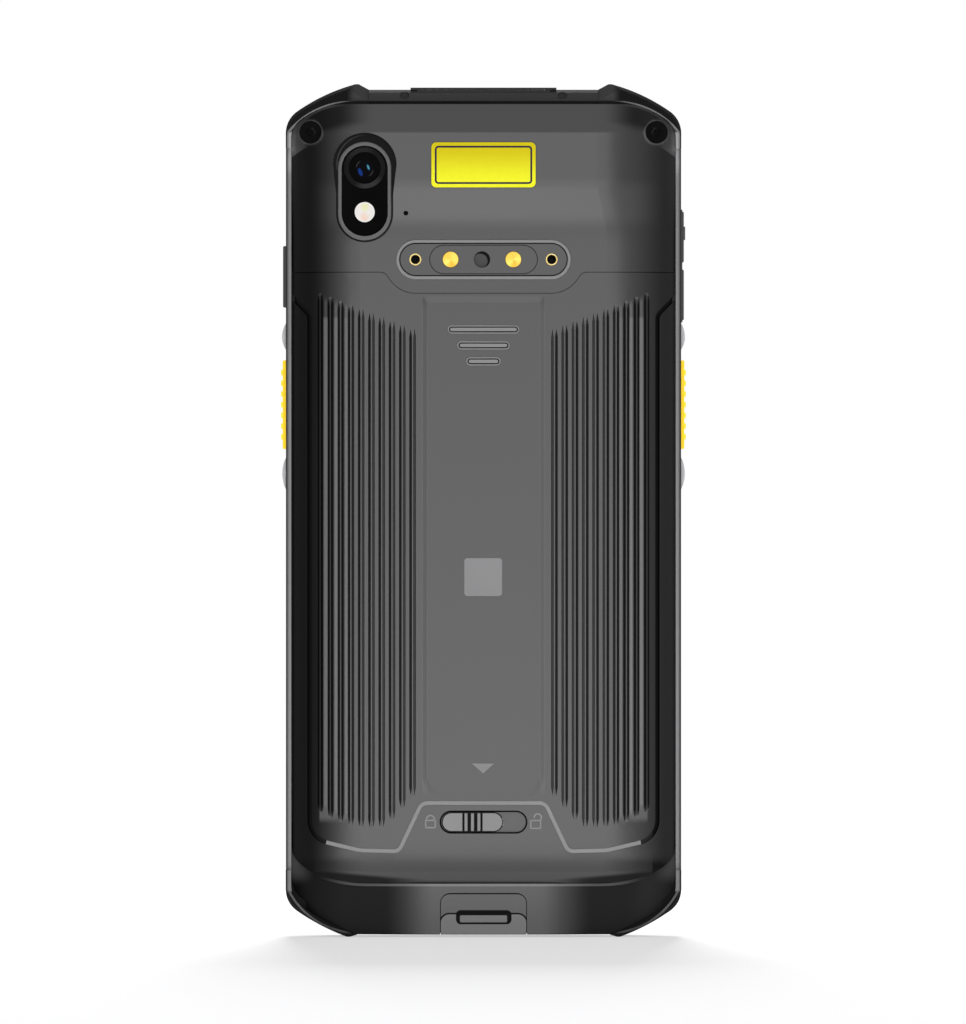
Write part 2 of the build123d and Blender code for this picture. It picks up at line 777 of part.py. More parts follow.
# screws
def screw(x, z, head_y):
    """A cheese-head screw with a hexagon socket, its shank towards the screen."""
    head = rod(x, z, screw_head_radius, head_y - screw_head_tall, head_y)
    socket = prism(Pos(x, z) * RegularPolygon(0.9, 6), -past, head_y - 0.5)
    return head - socket + rod(x, z, screw_shank_radius, head_y, head_y + screw_shank_length)


# keys
def key(name, out_x):
    """A side key: its cap passes through the frame and its flange stops it inside."""
    side, low_z, high_z = key_places[name]
    cap = block(key_flange_x, out_x, key_low_y, key_high_y, low_z, high_z)
    cap = fillet(cap.faces().sort_by(Axis.X)[-1].edges(), 0.3)
    flange_y = (key_low_y - 0.45, key_high_y + 0.45)
    flange = block(key_flange_x, key_rail_x, *flange_y, low_z - 0.6, high_z + 0.6)
    return (cap + flange) if side > 0 else mirror(cap + flange, Plane.YZ)


def scan_key(name):
    """A scan key with seven grip ridges."""
    side, low_z, high_z = key_places[name]
    ridges = Part()
    for number in range(ridge_count):
        z = (low_z + high_z) / 2 + ridge_pitch * (number - (ridge_count - 1) / 2)
        ridges += block(39.0, 39.5, key_low_y + 0.4, key_high_y - 0.4, z - 0.52, z + 0.52)
    return key(name, 39.2) + (ridges if side > 0 else mirror(ridges, Plane.YZ))


def volume_up_key():
    """The upper volume key, which carries a small nub to feel for."""
    nub = block(38.9, 39.37, key_low_y + 0.7, key_high_y - 0.7, 135.8, 138.4)
    return key("volume_up", 39.1) + nub


def guard_bump(low_z, high_z, crest_z):
    """A low swelling beside a scan key."""
    arc = Spline((half_width, low_z), (half_width + 0.7, crest_z), (half_width, high_z))
    face = make_face(Curve() + [arc, Line(arc @ 1, arc @ 0)])
    return prism(face, 0.8, 6.6)


def key_guards():
    """The four light swellings above and below the two scan keys."""
    pair = guard_bump(114.3, 119.6, 115.9) + guard_bump(87.0, 93.4, 91.2)
    return both_sides(pair)


def key_flex(side):
    """The flexible board with a dome behind each key on one side of the terminal."""
    strip = block(35.72, 35.87, key_low_y, key_high_y, 92, 143)
    for key_side, low_z, high_z in key_places.values():
        if key_side == side:
            middle = (low_z + high_z) / 2
            strip += block(35.85, 36.25, key_low_y + 0.5, key_high_y - 0.5, middle - 1.5, middle + 1.5)
    return strip if side > 0 else mirror(strip, Plane.YZ)


def volume_bezel():
    """The thin surround that both volume keys pass through."""
    plate = block(half_width, half_width + 0.3, key_low_y - 0.5, key_high_y + 0.5, 119.7, 141.7)
    for name in ("volume_up", "volume_down"):
        side, low_z, high_z = key_places[name]
        plate -= block(30, 50, key_low_y - 0.1, key_high_y + 0.1, low_z - 0.1, high_z + 0.1)
    return plate


# port and flap
def flap_face(grow=0.0):
    """The flap's back in plan, with round upper corners."""
    tall = flap_seam_z - 0.1 + grow - base_z
    face = Pos(0, base_z) * Rectangle(
        2 * flap_half_width + 2 * grow, tall, align=(Align.CENTER, Align.MIN)
    )
    return fillet(face.vertices().group_by(Axis.Y)[-1], flap_corner + grow)


def grip_slot():
    """The slot for a fingernail, which lies across the flap and its anchor."""
    tall = grip_high_z - grip_low_z
    face = Pos(0, (grip_low_z + grip_high_z) / 2) * RectangleRounded(2 * grip_half_width, tall, 0.8)
    return prism(face, -past, flap_back_y + 0.7)


def usb_flap():
    """The rubber flap: a back plate with a grip bar, a sole under the port and a plug boss."""
    half = flap_half_width
    back = prism(flap_face(), flap_back_y, flap_back_y + flap_plate)
    sole = block(-half, half, flap_back_y, flap_front_y, base_z, base_z + flap_plate)
    boss = Pos(0, port_y, base_z + flap_plate) * extrude(SlotOverall(7.4, 1.7), amount=0.6)
    bar_half = grip_half_width - 0.75
    bar = block(-bar_half, bar_half, flap_back_y + 0.2, flap_back_y + flap_plate, grip_low_z, 4.3)
    return back - grip_slot() + bar + sole + boss


def flap_anchor():
    """The fixed end of the rubber piece, glued into the chin round the flap's upper edge."""
    tall = flap_top_z - 2.6
    face = Pos(0, 2.6) * Rectangle(2 * flap_half_width, tall, align=(Align.CENTER, Align.MIN))
    face = fillet(face.vertices().group_by(Axis.Y)[-1], 1.9)
    anchor = prism(face, flap_back_y, flap_back_y + flap_plate)
    return anchor - prism(flap_face(0.2), -past, past) - grip_slot()


def usb_connector():
    """The socket's steel shell with its contact tongue."""
    place = Pos(0, port_y, inner_base_z + 0.3)
    shell = place * (extrude(SlotOverall(9.0, 3.1), amount=7.0))
    shell -= place * extrude(SlotOverall(8.3, 2.5), amount=5.5)
    return shell + block(-3.3, 3.3, port_y - 0.35, port_y + 0.35, inner_base_z + 1.3, inner_base_z + 6)


# inside
def mid_frame():
    """The metal tray between the screen and the boards, with a rim and screw bosses."""
    outer = shell_outline(inner_base_z, -1.75)
    inner = shell_outline(inner_base_z, -3.05)
    tray = prism(outer, 1.75, 5.4) - prism(inner, 0, 4.6)
    for x, z in visible_screws + hidden_screws:
        tray += rod(x, z, 1.9, 1.75, 5.0) & prism(outer, 0, 10)
        tray -= rod(x, z, screw_shank_radius + fit, 0, 4.8)
    tray -= block(-16, 16, 4, 6, 30, 60)
    tray -= block(-5.2, 5.2, 1, 2.4, 0, 10)                  # the port passes under the rim
    return tray


def main_board():
    """The upper board, cut back round the screw bosses."""
    board = block(-33.0, 33.0, 2.2, 3.2, 125, 154) + block(-28, 28, 2.2, 3.2, 153, 159.0)
    for x, z in visible_screws + hidden_screws:
        board -= rod(x, z, 2.6, 0, 10)
    return board


def sub_board():
    """The lower board, which carries the port."""
    face = Polygon(
        (-21, 6.2), (21, 6.2), (32.5, 12), (32.5, 24.2), (-32.5, 24.2), (-32.5, 12), align=None
    )
    return prism(face, 2.2, 3.2)


def shield_cans():
    """Three pressed cans over the main board's chips."""
    cans = block(-31, -9, 3.2, 4.4, 127, 141) + block(-7, 12, 3.2, 4.4, 127, 145)
    return cans + block(14, 31, 3.2, 4.4, 127, 138)


def scan_engine():
    """The imager in the hump, which looks out of the top end."""
    body = block(-11, 11, -5.2, 1.0, 148, 159.4)
    for x, radius, tall in ((-4.0, 2.0, 161.4), (5.0, 1.8, 160.9)):
        lens = Pos(x, -1.3, 159.4) * Cylinder(
            radius, tall - 159.4, align=(Align.CENTER, Align.CENTER, Align.MIN)
        )
        body += lens - Pos(0, 0, 0.5) * Pos(x, -1.3, 159.4) * Cylinder(
            radius - 0.6, tall - 159.4, align=(Align.CENTER, Align.CENTER, Align.MIN)
        )
    return body


def scan_window_bezel():
    """The low hood round the scan window."""
    hood = block(-14.2, 14.2, -4.1, 1.9, top_z, top_z + 0.4)
    return hood - scan_window_opening(0, 160, 170)


def battery_pack():
    """The removable pack, with softened edges."""
    tall = bay_high_z - bay_low_z - 1.0
    middle = (bay_high_z + bay_low_z) / 2
    face = Pos(0, middle) * RectangleRounded(2 * bay_half_width - 0.6, tall, 2.6)
    pack = prism(face, -4.85, bay_floor_y - 0.15)
    return chamfer(pack.faces().sort_by(Axis.Y)[0].edges(), 0.5)


def battery_contact_springs():
    """Four spring fingers that meet the pack's end."""
    fingers = Part()
    for number in range(4):
        x = 2.6 * (number - 1.5)
        fingers += block(x - 0.6, x + 0.6, -2.2, -0.6, 121.6, 122.4)
    return fingers


def loudspeaker():
    """The speaker box beside the port."""
    return fillet(block(12, 25, -1.5, 1.8, 9, 19).edges().filter_by(Axis.Y), 1.5)


def vibration_motor():
    """A small round motor lying across the lower board."""
    return Pos(-19, 0.0, 13) * Rot(0, 90, 0) * Cylinder(1.9, 9)


def ring_of_seal():
    """The foam seal in the groove round the battery bay."""
    return prism(bay_outline(1.8) - bay_outline(0.8), -4.55, seal_low_y)


def display_gasket():
    """The adhesive ring under the cover glass."""
    return prism(glass_outline(-0.1) - Pos(0, 82) * RectangleRounded(69.6, 152.6, 3), 7.3, 7.42)


def cover_glass():
    """The touch glass, with a slot for the earpiece."""
    glass = prism(glass_outline(), 7.42, 8.3)
    glass = chamfer(glass.faces().sort_by(Axis.Y)[-1].edges(), 0.2)
    return glass - prism(stadium(0, 156, 12, 1.3), 0, past)


save("rear_housing", rear_housing())
save("front_frame", front_frame())
for end_name, upper_end in (("top", True), ("bottom", False)):
    for side_name, side_sign in (("left", -1), ("right", 1)):
        save(f"bumper_{end_name}_{side_name}", bumper(upper_end, side_sign))
save("battery_cover", battery_cover())
save("latch_slider", latch_slider())
save("latch_tongue", latch_tongue())
save("latch_detent", latch_detent())
camera_parts()
contact_parts()
all_screws = Part()
for place in visible_screws:
    all_screws += screw(*place, visible_head_y)
for place in hidden_screws:
    all_screws += screw(*place, hidden_head_y)
save("housing_screws", all_screws)
save("power_key", key("power", 39.13))
save("volume_up_key", volume_up_key())
save("volume_down_key", key("volume_down", 39.1))
save("volume_key_bezel", volume_bezel())
save("scan_key_left", scan_key("scan_left"))
save("scan_key_right", scan_key("scan_right"))
save("scan_key_guards", key_guards())
save("key_flex_left", key_flex(-1))
save("key_flex_right", key_flex(1))
save("usb_flap", usb_flap())
save("usb_flap_anchor", flap_anchor())
save("usb_connector", usb_connector())
save("mid_frame", mid_frame())
save("main_board", main_board())
save("sub_board", sub_board())
save("board_flex", block(-6, 6, 2.5, 2.65, 24.25, 124.95))
save("shield_cans", shield_cans())
save("scan_engine", scan_engine())
save("scan_window_bezel", scan_window_bezel())
save("scan_window", block(-13.0, 13.0, -4.2, 1.8, 164.05, 164.85))
save("label_plate", prism(label_face(), hump_y, hump_y + label_rise))
save("battery_pack", battery_pack())
save("battery_contact_block", block(-6, 6, -3.2, 0.2, 122.4, 126.9))
save("battery_contact_springs", battery_contact_springs())
save("bay_seal", ring_of_seal())
coil = Pos(0, 70) * (RectangleRounded(44, 46, 3) - RectangleRounded(38, 40, 2))
save("nfc_coil", prism(coil, -5.2, -5.0))
save("loudspeaker", loudspeaker())
save("vibration_motor", vibration_motor())
save("cover_glass", cover_glass())
save("display_gasket", display_gasket())
save("display_panel", block(-33.6, 33.6, 5.5, 7.2, 14, 152))
save("earpiece", block(-5.5, 5.5, 5.5, 7.2, 153.8, 157.6))
save("earpiece_mesh", prism(stadium(0, 156, 11.9, 1.2), 7.6, 8.15))
save("front_camera", rod(-14, 155.4, 2.0, 5.5, 7.3))
save("card_socket", block(13, 27, 0.8, 2.2, 132, 146))
print(len(written), "sub-parts")
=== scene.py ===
import json
import math

import bpy
import numpy as np
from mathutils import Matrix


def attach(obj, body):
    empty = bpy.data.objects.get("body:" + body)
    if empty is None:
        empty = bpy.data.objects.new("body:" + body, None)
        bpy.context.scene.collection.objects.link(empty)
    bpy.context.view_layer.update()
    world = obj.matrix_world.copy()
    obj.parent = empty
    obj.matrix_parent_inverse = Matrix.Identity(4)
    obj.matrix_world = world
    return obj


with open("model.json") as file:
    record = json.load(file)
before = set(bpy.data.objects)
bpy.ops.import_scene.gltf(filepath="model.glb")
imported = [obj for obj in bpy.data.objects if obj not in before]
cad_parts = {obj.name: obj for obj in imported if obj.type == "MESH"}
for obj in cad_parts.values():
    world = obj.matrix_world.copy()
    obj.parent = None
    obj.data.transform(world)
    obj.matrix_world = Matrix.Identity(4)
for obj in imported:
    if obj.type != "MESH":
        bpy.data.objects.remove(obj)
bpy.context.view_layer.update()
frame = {"nodes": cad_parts, "record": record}
nodes = frame["nodes"]
mm = 0.001


# shader arithmetic

class Signal:  # one socket of a material's tree, so that sums of it read as plain arithmetic
    def __init__(self, tree, socket=None):
        self.tree = tree
        self.socket = socket

    def node(self, kind, settings=None, inputs=None, output=0):
        made = self.tree.nodes.new(kind)
        for name, value in (settings or {}).items():
            setattr(made, name, value)
        for name, value in (inputs or {}).items():
            if isinstance(value, Signal):
                self.tree.links.new(value.socket, made.inputs[name])
            else:
                made.inputs[name].default_value = value
        return Signal(self.tree, made.outputs[output])

    def math(self, operation, *values):
        return self.node("ShaderNodeMath", {"operation": operation}, dict(enumerate(values)))

    def __add__(self, other):
        return self.math("ADD", self, other)

    def __sub__(self, other):
        return self.math("SUBTRACT", self, other)

    def __mul__(self, other):
        return self.math("MULTIPLY", self, other)

    def __truediv__(self, other):
        return self.math("DIVIDE", self, other)

    def __rsub__(self, other):
        return self.math("SUBTRACT", other, self)

    __radd__ = __add__
    __rmul__ = __mul__

    def greater(self, other):
        return self.math("MAXIMUM", self, other)

    def lesser(self, other):
        return self.math("MINIMUM", self, other)

    def size(self):
        return self.math("ABSOLUTE", self)

    def fraction(self):
        return self.math("FRACT", self)

    def root(self):
        return self.math("SQRT", self)

    def cosine(self):
        return self.math("COSINE", self)

    def reach(self, other):  # the length of a step this far across and the other far along
        return (self * self + other * other).root()

    def angle(self, other):  # that step's angle in radians, from across towards along
        return self.math("ARCTAN2", other, self)

    def ramp(self, low, high):  # 0 below low, 1 above high, smooth between; low may be the greater
        return self.node("ShaderNodeMapRange", {"interpolation_type": "SMOOTHSTEP"},
                         {"Value": self, "From Min": low, "From Max": high})

    def within(self, half, soft=0.03):  # 1 where this signal lies closer to 0 than half, with a soft edge
        return self.size().ramp(half + soft, half)

    def blend(self, first, second):  # colours: first where this signal is 0, second where it is 1
        return self.node("ShaderNodeMix", {"data_type": "RGBA"}, {0: self, 6: first, 7: second}, 2)

    def tint(self, under, colour):  # the same with a screen colour as the second
        return self.blend(under, paint(*colour))


def paint(red, green, blue):  # a screen colour from 0 to 255 as linear light
    linear = [((v / 255 + 0.055) / 1.055) ** 2.4 if v > 10 else v / 255 / 12.92 for v in (red, green, blue)]
    return (*linear, 1.0)


seamAndShadeBlack = paint(3, 3, 3)         # black for seams, and painted shade in grooves, slots and the dimple
paintedShadeBlack = paint(4, 4, 4)       # painted shade: in hollows, between ridges, and where the shell turns away from the light


def startMaterial(name):  # an empty material and the signal that makes its nodes
    material = bpy.data.materials.new(name)
    material.use_nodes = True
    material.node_tree.nodes.clear()
    return material, Signal(material.node_tree)


def endMaterial(material, shader):
    output = material.node_tree.nodes.new("ShaderNodeOutputMaterial")
    material.node_tree.links.new(shader.socket, output.inputs["Surface"])
    return material


def surfaceMaterial(name, surface, *values):
    material, start = startMaterial(name)
    return endMaterial(material, surface(start, *values))


def shading(start, colour, roughness, specular=0.5, metallic=0.0, others=None):  # one shader from its sockets
    return start.node("ShaderNodeBsdfPrincipled", None, {
        "Base Color": colour, "Roughness": roughness, "Specular IOR Level": specular, "Metallic": metallic,
        **(others or {})})


def objectPoint(start):
    return start.node("ShaderNodeTexCoord", output="Object")


def places(start, axes="XYZ"):  # the point on the object, then each of its named coordinates in millimetres
    point = objectPoint(start)
    return (point, *[point.node("ShaderNodeSeparateXYZ", None, {0: point}, axis) / mm for axis in axes])


def noise(point, scale, detail=2.0):  # soft noise between 0 and 1, stretched so that it uses that range
    soft = point.node("ShaderNodeTexNoise", None, {"Vector": point, "Scale": scale, "Detail": detail})
    return soft.ramp(0.3, 0.7)


def grainBump(point, size, height):  # a spark-eroded mould's grain: fine noise on a coarser one
    fine = point.node("ShaderNodeTexNoise", None, {
        "Vector": point, "Scale": 1.0 / (size * mm), "Detail": 3.0, "Roughness": 0.6})
    coarse = point.node("ShaderNodeTexNoise", None, {
        "Vector": point, "Scale": 0.35 / (size * mm), "Detail": 1.0})
    return point.node("ShaderNodeBump", None, {
        "Height": fine * 0.7 + coarse * 0.3, "Strength": 1.0, "Distance": height * mm})


def spotReach(x, z, centre):  # distance from a point in the plan
    return (x - centre[0]).reach(z - centre[1])


def slotReach(x, z, centre, size):  # distance outside a round-ended slot, negative inside it
    across = ((x - centre[0]).size() - (size[0] - size[1]) / 2).greater(0.0)
    return across.reach(z - centre[1]) - size[1] / 2


def frameReach(x, z, centre, size, corner):  # distance outside a rectangle with round corners
    across = ((x - centre[0]).size() - (size[0] / 2 - corner)).greater(0.0)
    along = ((z - centre[1]).size() - (size[1] / 2 - corner)).greater(0.0)
    return across.reach(along) - corner


# the back's own form, which marks and masks follow

back = dict(  # in mm: flat of the cover, where its sides stand upright, flat half width, half width
    flatY=-6.6, sideY=1.4, flatHalf=24.0, half=38.5,
    footZ=18.4, footRadius=30.0,                # the cover bends down below this height
)


def coverY(x, z):  # flat less a quarter ellipse at each side, less a circle's fall at the foot; numpy arrays
    share = np.clip((np.abs(x) - back["flatHalf"]) / (back["half"] - back["flatHalf"]), 0, 1)
    fall = (back["sideY"] - back["flatY"]) * (1 - np.sqrt(1 - share ** 2))
    drop = np.clip(back["footZ"] - z, 0, None)
    return back["flatY"] + fall + back["footRadius"] - np.sqrt(back["footRadius"] ** 2 - drop ** 2)


def coverDepth(x, y):  # how far a point lies below the cover's surface: the same quarter ellipse as nodes
    share = ((x.size() - back["flatHalf"]) / (back["half"] - back["flatHalf"])).greater(0.0).lesser(1.0)
    return y - (back["sideY"] - (1 - share * share).root() * (back["sideY"] - back["flatY"]))


# moulded plastics; below, pairs whose names end in X, Y, Z, Depth or Edge are the two ends of a fade in mm,
# and those that end in Line are half a line's width and its softness

plastics = {  # colour, roughness, specular level, grain size and height in mm, share of mottling, any glow, which is painted light
    "housing": ((22, 22, 23), 0.42, 0.06, 0.32, 0.0045, 0.10),
    "cover": ((22, 22, 23), 0.42, 0.06, 0.32, 0.0045, 0.10),
    "flap": ((22, 22, 23), 0.45, 0.06, 0.28, 0.003, 0.08),
    "frame": ((51, 51, 52), 0.42, 0.05, 0.30, 0.002, 0.06),
    "bumper": ((9, 9, 10), 0.50, 0.05, 0.25, 0.003, 0.08),
    "key_black": ((68, 68, 70), 0.45, 0.30, 0.25, 0.002, 0.05),
    # painted light: the yellow keys glow in their own colour
    "key_yellow": ((255, 214, 50), 0.42, 0.10, 0.30, 0.002, 0.04, 0.42),
    "guard": ((200, 200, 202), 0.42, 0.20, 0.30, 0.002, 0.05),
    "latch": ((135, 135, 135), 0.40, 0.05, 0.22, 0.002, 0.05),
    "bezel": ((92, 92, 92), 0.36, 0.15, 0.20, 0.001, 0.04),
    "screw": ((8, 8, 9), 0.45, 0.02, 0.15, 0.001, 0.05),
    "pack": ((30, 30, 32), 0.60, 0.30, 0.40, 0.002, 0.05),
    "foam": ((20, 20, 21), 0.85, 0.20, 0.50, 0.020, 0.20),
    "electronics": ((22, 22, 24), 0.50, 0.40, 0.40, 0.001, 0.05),
    # inlay: the slots' pale fills, and the strip that is a painted highlight in the cover's groove
    "inlay": ((132, 132, 133), 0.42, 0.10, 0.30, 0.002, 0.04),
    # print: the raised marks, and the slot rims, which are painted highlights
    "print": ((130, 130, 131), 0.50, 0.06, 0.20, 0.001, 0.05),
    # seal: also the black ring of painted shade round the latch slot
    "seal": ((5, 5, 6), 0.60, 0.01, 0.30, 0.002, 0.10),
}
slowTone = dict(scale=45.0, detail=4.0, roughness=0.05)    # the slow drift of a plastic's colour and gloss

lacquer = dict(  # satin coat on the back's mouldings
    share=0.60, thin=0.01, gloss=0.30, index=1.6,
    half=26.5, fade=7.5, topHalf=21.0, topZ=(156.0, 159.0), chinHalf=9.5, chinFade=2.5, chinZ=(13.0, 11.0),
    riseFrom=126.0, riseOver=116.0, rise=0.24,  # the coat thickens towards the foot
    slopeRise=0.50, slopeLowZ=(137.0, 141.0), slopeHighZ=(148.0, 145.0),
    sideX=(27.0, 33.0), sideShade=0.70,         # painted shade: the bare plastic darkens towards the left side
    middleX=(0.0, 1.0), rightShift=1.8,         # and, under a wider coat, is painted a shade lighter on the right
    rightLightColour=(33, 33, 34),
)


def backLacquer(x, z):  # full over the flat back, thin on its rounded sides, narrower at the top and the chin
    top = z.ramp(*lacquer["topZ"]) * (lacquer["half"] - lacquer["topHalf"])
    chin = z.ramp(*lacquer["chinZ"])
    half = lacquer["half"] - top - chin * (lacquer["half"] - lacquer["chinHalf"])
    fade = chin * lacquer["chinFade"] + lacquer["fade"]
    across = x.size() - x.ramp(*lacquer["middleX"]) * lacquer["rightShift"]
    side = 1 - ((across - half) / fade).ramp(0.0, 1.0)
    slope = z.ramp(*lacquer["slopeLowZ"]) * z.ramp(*lacquer["slopeHighZ"])
    climb = (lacquer["riseFrom"] - z).greater(0.0) / lacquer["riseOver"]
    thickness = slope * lacquer["slopeRise"] + climb * lacquer["rise"] + 1
    return side * thickness * (lacquer["share"] - lacquer["thin"]) + lacquer["thin"]


def sideShadeAndLight(body, x):  # where the shell rounds away: painted shade on the left side, painted light on the right
    near, far = lacquer["sideX"]
    left = x.ramp(-near, -far) * lacquer["sideShade"]
    return x.ramp(near, far).tint(left.blend(body, paintedShadeBlack), lacquer["rightLightColour"])


scoop = dict(  # painted shade of a hollow round the camera, in mm: a circle, and its tail that narrows downwards; a painted shadow round the island and a painted highlight line
    centre=(-23.1, 150.2), rimEdge=(6.25, 6.13), tailZ=(139.5, 140.0), narrowing=0.115,
    island=(-23.1, 145.1), islandSize=(10.4, 19.2), shadowEdge=(0.42, 0.25),
    lineCentre=(-22.72, 150.25), lineRadius=5.78, highlightLine=(0.06, 0.07), highlightX=(1.0, -3.0),
    highlightZ=(148.0, 150.0), light=(60, 60, 61),
)


def scoopShade(x, z):  # painted shade: a circle with a tail that narrows downwards, and a thin painted shadow round the island
    low = (scoop["centre"][1] - z).greater(0.0)
    across = (x - scoop["centre"][0]).size() + low * scoop["narrowing"]
    along = (z - scoop["centre"][1]).greater(0.0)
    hollow = across.reach(along).ramp(*scoop["rimEdge"]) * z.ramp(*scoop["tailZ"])
    outside = slotReach(z, x, scoop["island"][::-1], scoop["islandSize"][::-1])  # the island stands upright
    return hollow.greater(outside.ramp(*scoop["shadowEdge"]))


def scoopHighlight(x, z):  # a thin painted highlight just inside the hollow's outer side
    line = (spotReach(x, z, scoop["lineCentre"]) - scoop["lineRadius"]).within(*scoop["highlightLine"])
    return line * (x - scoop["centre"][0]).ramp(*scoop["highlightX"]) * z.ramp(*scoop["highlightZ"])


corner = dict(  # painted light on the facet round each visible screw, and painted highlights along the shell's corner, round the screw, at the rim and at the foot, in mm
    creaseZ=156.3, creaseEdge=(-0.15, 0.15), fallFrom=24.0, fallOver=13.3, fall=4.5, power=2.2,
    facetX=(33.2, 37.2), facet=(80, 80, 81),
    arcCentre=(27.0, 149.37), arcRadius=12.49, arcLine=(0.15, 0.08), arcX=(26.0, 30.0), arcZ=(155.0, 157.0),
    arcShare=0.35, arc=(92, 92, 93), screw=(33.7, 156.6), ring=2.35, ringLine=(0.06, 0.1), ringShare=0.4,
    rimX=(36.2, 37.5), rimZ=(152.2, 153.7), rim=(128, 128, 129),
    footX=(32.6, 37.0), footLowZ=(9.8, 12.8), footHighZ=(17.6, 15.6), foot=(68, 68, 69),
)


def cornerLitFacet(x, z):  # painted light: 1 above the crease, which falls outwards as a power of the distance from the middle
    share = ((x.size() - corner["fallFrom"]) / corner["fallOver"]).greater(0.0)
    crease = corner["creaseZ"] - share.math("POWER", share, corner["power"]) * corner["fall"]
    return (z - crease).ramp(*corner["creaseEdge"]) * x.size().ramp(*corner["facetX"])


def cornerHighlights(x, z):  # painted highlights: a thin light arc along the shell's corner, fading inwards, and a ring round the screw
    arc = (spotReach(x.size(), z, corner["arcCentre"]) - corner["arcRadius"]).within(*corner["arcLine"])
    arc = arc * x.size().ramp(*corner["arcX"]) * z.ramp(*corner["arcZ"]) * corner["arcShare"]
    ring = (spotReach(x.size(), z, corner["screw"]) - corner["ring"]).within(*corner["ringLine"])
    return arc.greater(ring * corner["ringShare"])


ledge = dict(  # the painted highlight line over the chin, in mm: it rises outwards as a quarter ellipse
    z=10.4, rise=7.1, riseFrom=22.9, riseOver=14.5, lipLine=(0.21, 0.15), lipX=(32.5, 25.0),
    lipY=(-1.5, -2.5), colour=(84, 84, 85))
shade = dict(  # painted shade, black on the housing: the gap below the frame's top, and behind the flap
    gapZ=(162.0, 162.1), gapY=(0.0, -2.2), flapX=(8.8, 8.7), flapY=(-5.9, -5.6), flapZ=(8.85, 8.75))


def housingTone(body, x, y, z):  # painted shade in the hollow and the gaps, painted highlights along the ledge and at the corners
    wide = x.size()
    dark = scoopShade(x, z).greater(z.ramp(*shade["gapZ"]) * y.ramp(*shade["gapY"]))
    dark = dark.greater(wide.ramp(*shade["flapX"]) * y.ramp(*shade["flapY"]) * z.ramp(*shade["flapZ"]))
    share = ((wide - ledge["riseFrom"]) / ledge["riseOver"]).greater(0.0).lesser(1.0)
    seam = ledge["z"] + (1 - (1 - share * share).root()) * ledge["rise"]
    lip = (seam - z - ledge["lipLine"][0]).within(*ledge["lipLine"])
    lip = lip * wide.ramp(*ledge["lipX"]) * y.ramp(*ledge["lipY"])
    toned = cornerLitFacet(x, z).tint(sideShadeAndLight(body, x), corner["facet"])
    toned = (wide.ramp(*corner["rimX"]) * z.ramp(*corner["rimZ"])).tint(toned, corner["rim"])
    foot = wide.ramp(*corner["footX"]) * z.ramp(*corner["footLowZ"]) * z.ramp(*corner["footHighZ"])
    toned = cornerHighlights(x, z).tint(foot.tint(toned, corner["foot"]), corner["arc"])
    hollow = scoopHighlight(x, z).tint(paintedShadeBlack, scoop["light"])
    return dark.blend(lip.tint(toned, ledge["colour"]), hollow), 1 - dark


recess = dict(  # painted shade: where a groove turns dark below the cover's surface, and where its floor catches the light again and is left unshaded
    wallDepth=(0.05, 0.30), floorDepth=(0.50, 0.58), shade=0.12, full=0.62, sideX=(22.0, 31.0),
    lastX=(32.6, 33.0))
innerWallLight = dict(  # painted light on each groove's inner wall; phase is the place across a groove, 0.5 in its middle
    firstX=31.8, pitch=2.0, phase=(0.52, 0.57), nearX=(12.6, 12.9), farX=(27.0, 23.0), footZ=(20.5, 22.0),
    share=0.85, colour=(76, 76, 77))
# painted light: rib tops stay light as the cover rounds away
ribTopLight = dict(nearX=(23.5, 31.5), lastX=(32.0, 31.8), topDepth=(0.08, 0.02), footZ=(22.0, 23.5),
              headZ=(121.0, 120.0), colour=(78, 78, 79))
# painted light on the raised pad's side slopes and head
padSlopeLight = dict(x=11.4, sideLine=(0.42, 0.2), footZ=(27.0, 30.0), topZ=(124.6, 121.6),
                z=124.05, headLine=(0.55, 0.1), headX=(11.6, 10.4), headShare=0.7, colour=(46, 46, 47))
latchSlot = dict(centre=(0.0, 22.4), size=(17.0, 4.4), slotEdge=(0.0, 0.05))
# the pad's three slots, in mm: painted shade inside them; their rims are painted highlights round pale fills
padSlots = dict(places=[(118.2, 14.0), (115.1, 10.3), (112.0, 6.8)], tall=1.7, slotEdge=(0.05, 0.0),
                slotDepth=(0.05, 0.15), rim=0.26, spare=0.06, low=0.2, rimHigh=-0.10, fillHigh=-0.04,
                gap=0.22)


